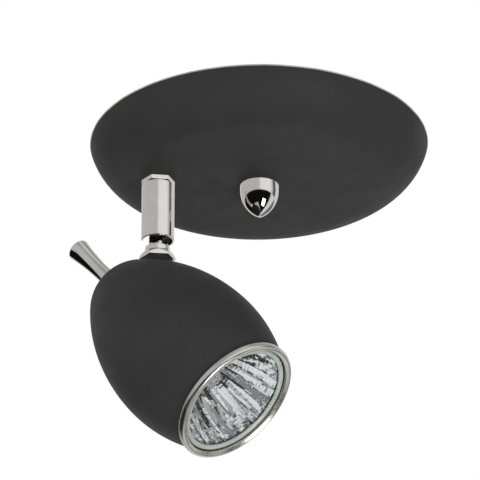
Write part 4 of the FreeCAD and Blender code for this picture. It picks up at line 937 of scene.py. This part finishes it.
# Stage. The lamps aim at the middle, and headings count from the camera's side of the part.
MIDDLE = Vector((-0.02, -0.01, -0.07))
CAMERA_SIDE = 95.13
FILL, FLOOR_GLOW, THROUGH_GLASS = 0.55, 0.42, 1.5


class SPOT_OT_stage(Piece, bpy.types.Operator):
    """Pale floor far below, white surround, soft boxes and the camera"""

    bl_idname = "spot.stage"
    bl_label = "Stage"

    def execute(self, context):
        self.world(context.scene)
        self.floor()
        self.camera(context.scene)
        self.lamps()
        return {"FINISHED"}

    def world(self, scene):
        """White to the camera and an even fill to matt surfaces. Metal and glass see a room: pale
        above, brighter to the right of the camera, and dark below on the camera's side. Overhead
        it is dimmer to metal. Through glass it is brighter, up to white."""
        scene.world = bpy.data.worlds.new("surround")
        make = Wiring(scene.world, "Background", "Generated", Color=(1.0, 1.0, 1.0, 1.0))
        heading = make.node("Mapping", Vector=make.coordinates,
                            Rotation=(0.0, 0.0, math.radians(CAMERA_SIDE)))
        parts = make.node("SeparateXYZ", Vector=heading.outputs["Vector"])
        turn_about = make.math("ARCTAN2", parts.outputs["Y"], parts.outputs["X"])
        share = make.remap(turn_about, -math.pi, math.pi, 0.0, 1.0)
        above = make.levels(share, (-180, 0.80), (-140, 0.62), (-4, 0.60), (9, 0.98), (66, 1.0),
                            (84, 0.62), (92, 0.12), (106, 0.12), (116, 0.80), (180, 0.72))
        below = make.levels(share, (-180, 0.66), (-150, 0.60), (-140, 0.006), (72, 0.006),
                            (82, 0.85), (108, 0.85), (116, 0.20), (146, 0.20), (156, 0.95),
                            (180, 0.75))
        rise = make.remap(parts.outputs["Z"], -0.03, 0.03, 0.0, 1.0)
        room = make.math("ADD", make.math("MULTIPLY", above, rise),
                         make.math("MULTIPLY", below, make.math("SUBTRACT", 1.0, rise)))
        overhead = make.remap(parts.outputs["Z"], 0.60, 0.74, 1.0, 0.7)
        bright = make.math("MINIMUM", make.math("MULTIPLY", room, THROUGH_GLASS), 1.0)
        path = make.node("LightPath").outputs
        metal = make.math("MULTIPLY", path["Is Glossy Ray"], make.math("MULTIPLY", room, overhead))
        glass = make.math("MULTIPLY", path["Is Transmission Ray"], bright)
        mirrored = make.math("MAXIMUM", path["Is Glossy Ray"], path["Is Transmission Ray"])
        other = make.math("SUBTRACT", 1.0, make.math("MAXIMUM", mirrored, path["Is Camera Ray"]))
        level = make.math("ADD", path["Is Camera Ray"], make.math("MAXIMUM", metal, glass))
        make.into("Strength", make.math("ADD", level, make.math("MULTIPLY", other, FILL)))

    def floor(self):
        """A wide pale floor far below. The camera sees it a little lighter than it is lit, and
        mirrors don't see it, because the world stands for the room there."""
        bpy.ops.mesh.primitive_plane_add(size=30.0, location=(0, 0, -3.0))
        floor = bpy.context.object
        floor.name = "pale_floor"
        make = Wiring(bpy.data.materials.new("floor_paint"), Roughness=0.9,
                      Specular_IOR_Level=0.1, Emission_Color=(1, 1, 1, 1))
        tone = make.field(3, 2, 0.3, 0.7, 0, 1)
        make.into("Base Color", make.blend(tone, (0.88, 0.88, 0.88), (0.90, 0.90, 0.90)))
        seen = make.node("LightPath").outputs["Is Camera Ray"]
        make.into("Emission Strength", make.math("MULTIPLY", seen, FLOOR_GLOW))
        floor.data.materials.append(make.owner)
        floor.visible_glossy = floor.visible_transmission = False

    def camera(self, scene):
        """The photograph's own viewpoint: a long lens below and in front, looking up. Its place
        in millimetres, its pitch and its roll come from the fit to the photograph."""
        data = bpy.data.cameras.new("view")
        data.lens, data.sensor_width = 195.0, 36.0
        data.clip_start, data.clip_end = 0.05, 30.0
        camera = add("view", data)
        pitch, roll, cosine, sine = math.radians(25.84), math.radians(-0.33), 0.99599, 0.08949
        right = Vector((cosine, -sine, 0))
        ahead = Vector((sine * math.cos(pitch), cosine * math.cos(pitch), math.sin(pitch)))
        up = right.cross(ahead)
        across = right * math.cos(roll) + up * math.sin(roll)
        upward = across.cross(ahead)
        place = Matrix((across, upward, -ahead)).transposed().to_4x4()
        place.translation = Vector((-100.15, -1017.65, -540.66)) * MM
        camera.matrix_world = place
        scene.camera = camera

    def lamps(self):
        """Soft boxes, each at a heading from the camera's side and a height, in degrees."""
        for name, heading, height, distance, size, power in (
                ("window_box", 40.0, -40.0, 1.5, (0.56, 0.66), 7.0),
                ("low_box", -35.0, -62.0, 1.4, (0.80, 1.00), 1.3),
                ("left_box", -75.0, 0.0, 1.6, (1.0, 1.0), 4.0),
                ("front_box", -15.0, -30.0, 1.9, (1.3, 1.3), 7.0)):
            data = bpy.data.lights.new(name, "AREA")
            data.shape = "RECTANGLE"
            data.size, data.size_y = size
            data.energy = power
            lamp = add(name, data)
            turn_about, rise = math.radians(heading - CAMERA_SIDE), math.radians(height)
            toward = Vector((math.cos(turn_about) * math.cos(rise),
                             math.sin(turn_about) * math.cos(rise), math.sin(rise)))
            lamp.location = MIDDLE + toward * distance
            lamp.rotation_euler = (-toward).to_track_quat("-Z", "Y").to_euler()
            lamp.visible_glossy = lamp.visible_transmission = name in ("window_box", "low_box")


class SPOT_PT_panel(bpy.types.Panel):
    """Lists the pieces, sizes and colours"""

    bl_idname = "SPOT_PT_panel"
    bl_label = "Spotlight"
    bl_space_type = "VIEW_3D"
    bl_region_type = "UI"
    bl_category = "Spotlight"

    def draw(self, context):
        column = self.layout.column()
        for operator in OPERATORS:
            column.operator(operator.bl_idname)
        for group in (context.scene.spot_sizes, context.scene.spot_colours):
            for name in group.__annotations__:
                column.prop(group, name)


OPERATORS = (SPOT_OT_stage, SPOT_OT_rose, SPOT_OT_cap_nut, SPOT_OT_swivel, SPOT_OT_sleeve,
             SPOT_OT_neck, SPOT_OT_shade, SPOT_OT_ring, SPOT_OT_lever, SPOT_OT_lamp, SPOT_OT_inner)
CLASSES = (SpotSizes, SpotColours, *OPERATORS, SPOT_PT_panel)


def register():
    """Add the classes and the scene's settings."""
    for item in CLASSES:
        bpy.utils.register_class(item)
    bpy.types.Scene.spot_sizes = bpy.props.PointerProperty(type=SpotSizes)
    bpy.types.Scene.spot_colours = bpy.props.PointerProperty(type=SpotColours)


def unregister():
    """Take them away again."""
    del bpy.types.Scene.spot_colours
    del bpy.types.Scene.spot_sizes
    for item in reversed(CLASSES):
        bpy.utils.unregister_class(item)


def main():
    """Build every piece in order."""
    register()
    bpy.context.scene.view_settings.view_transform = "Standard"
    for operator in OPERATORS:
        group, name = operator.bl_idname.split(".")
        getattr(getattr(bpy.ops, group), name)()


if __name__ == "__main__":
    main()
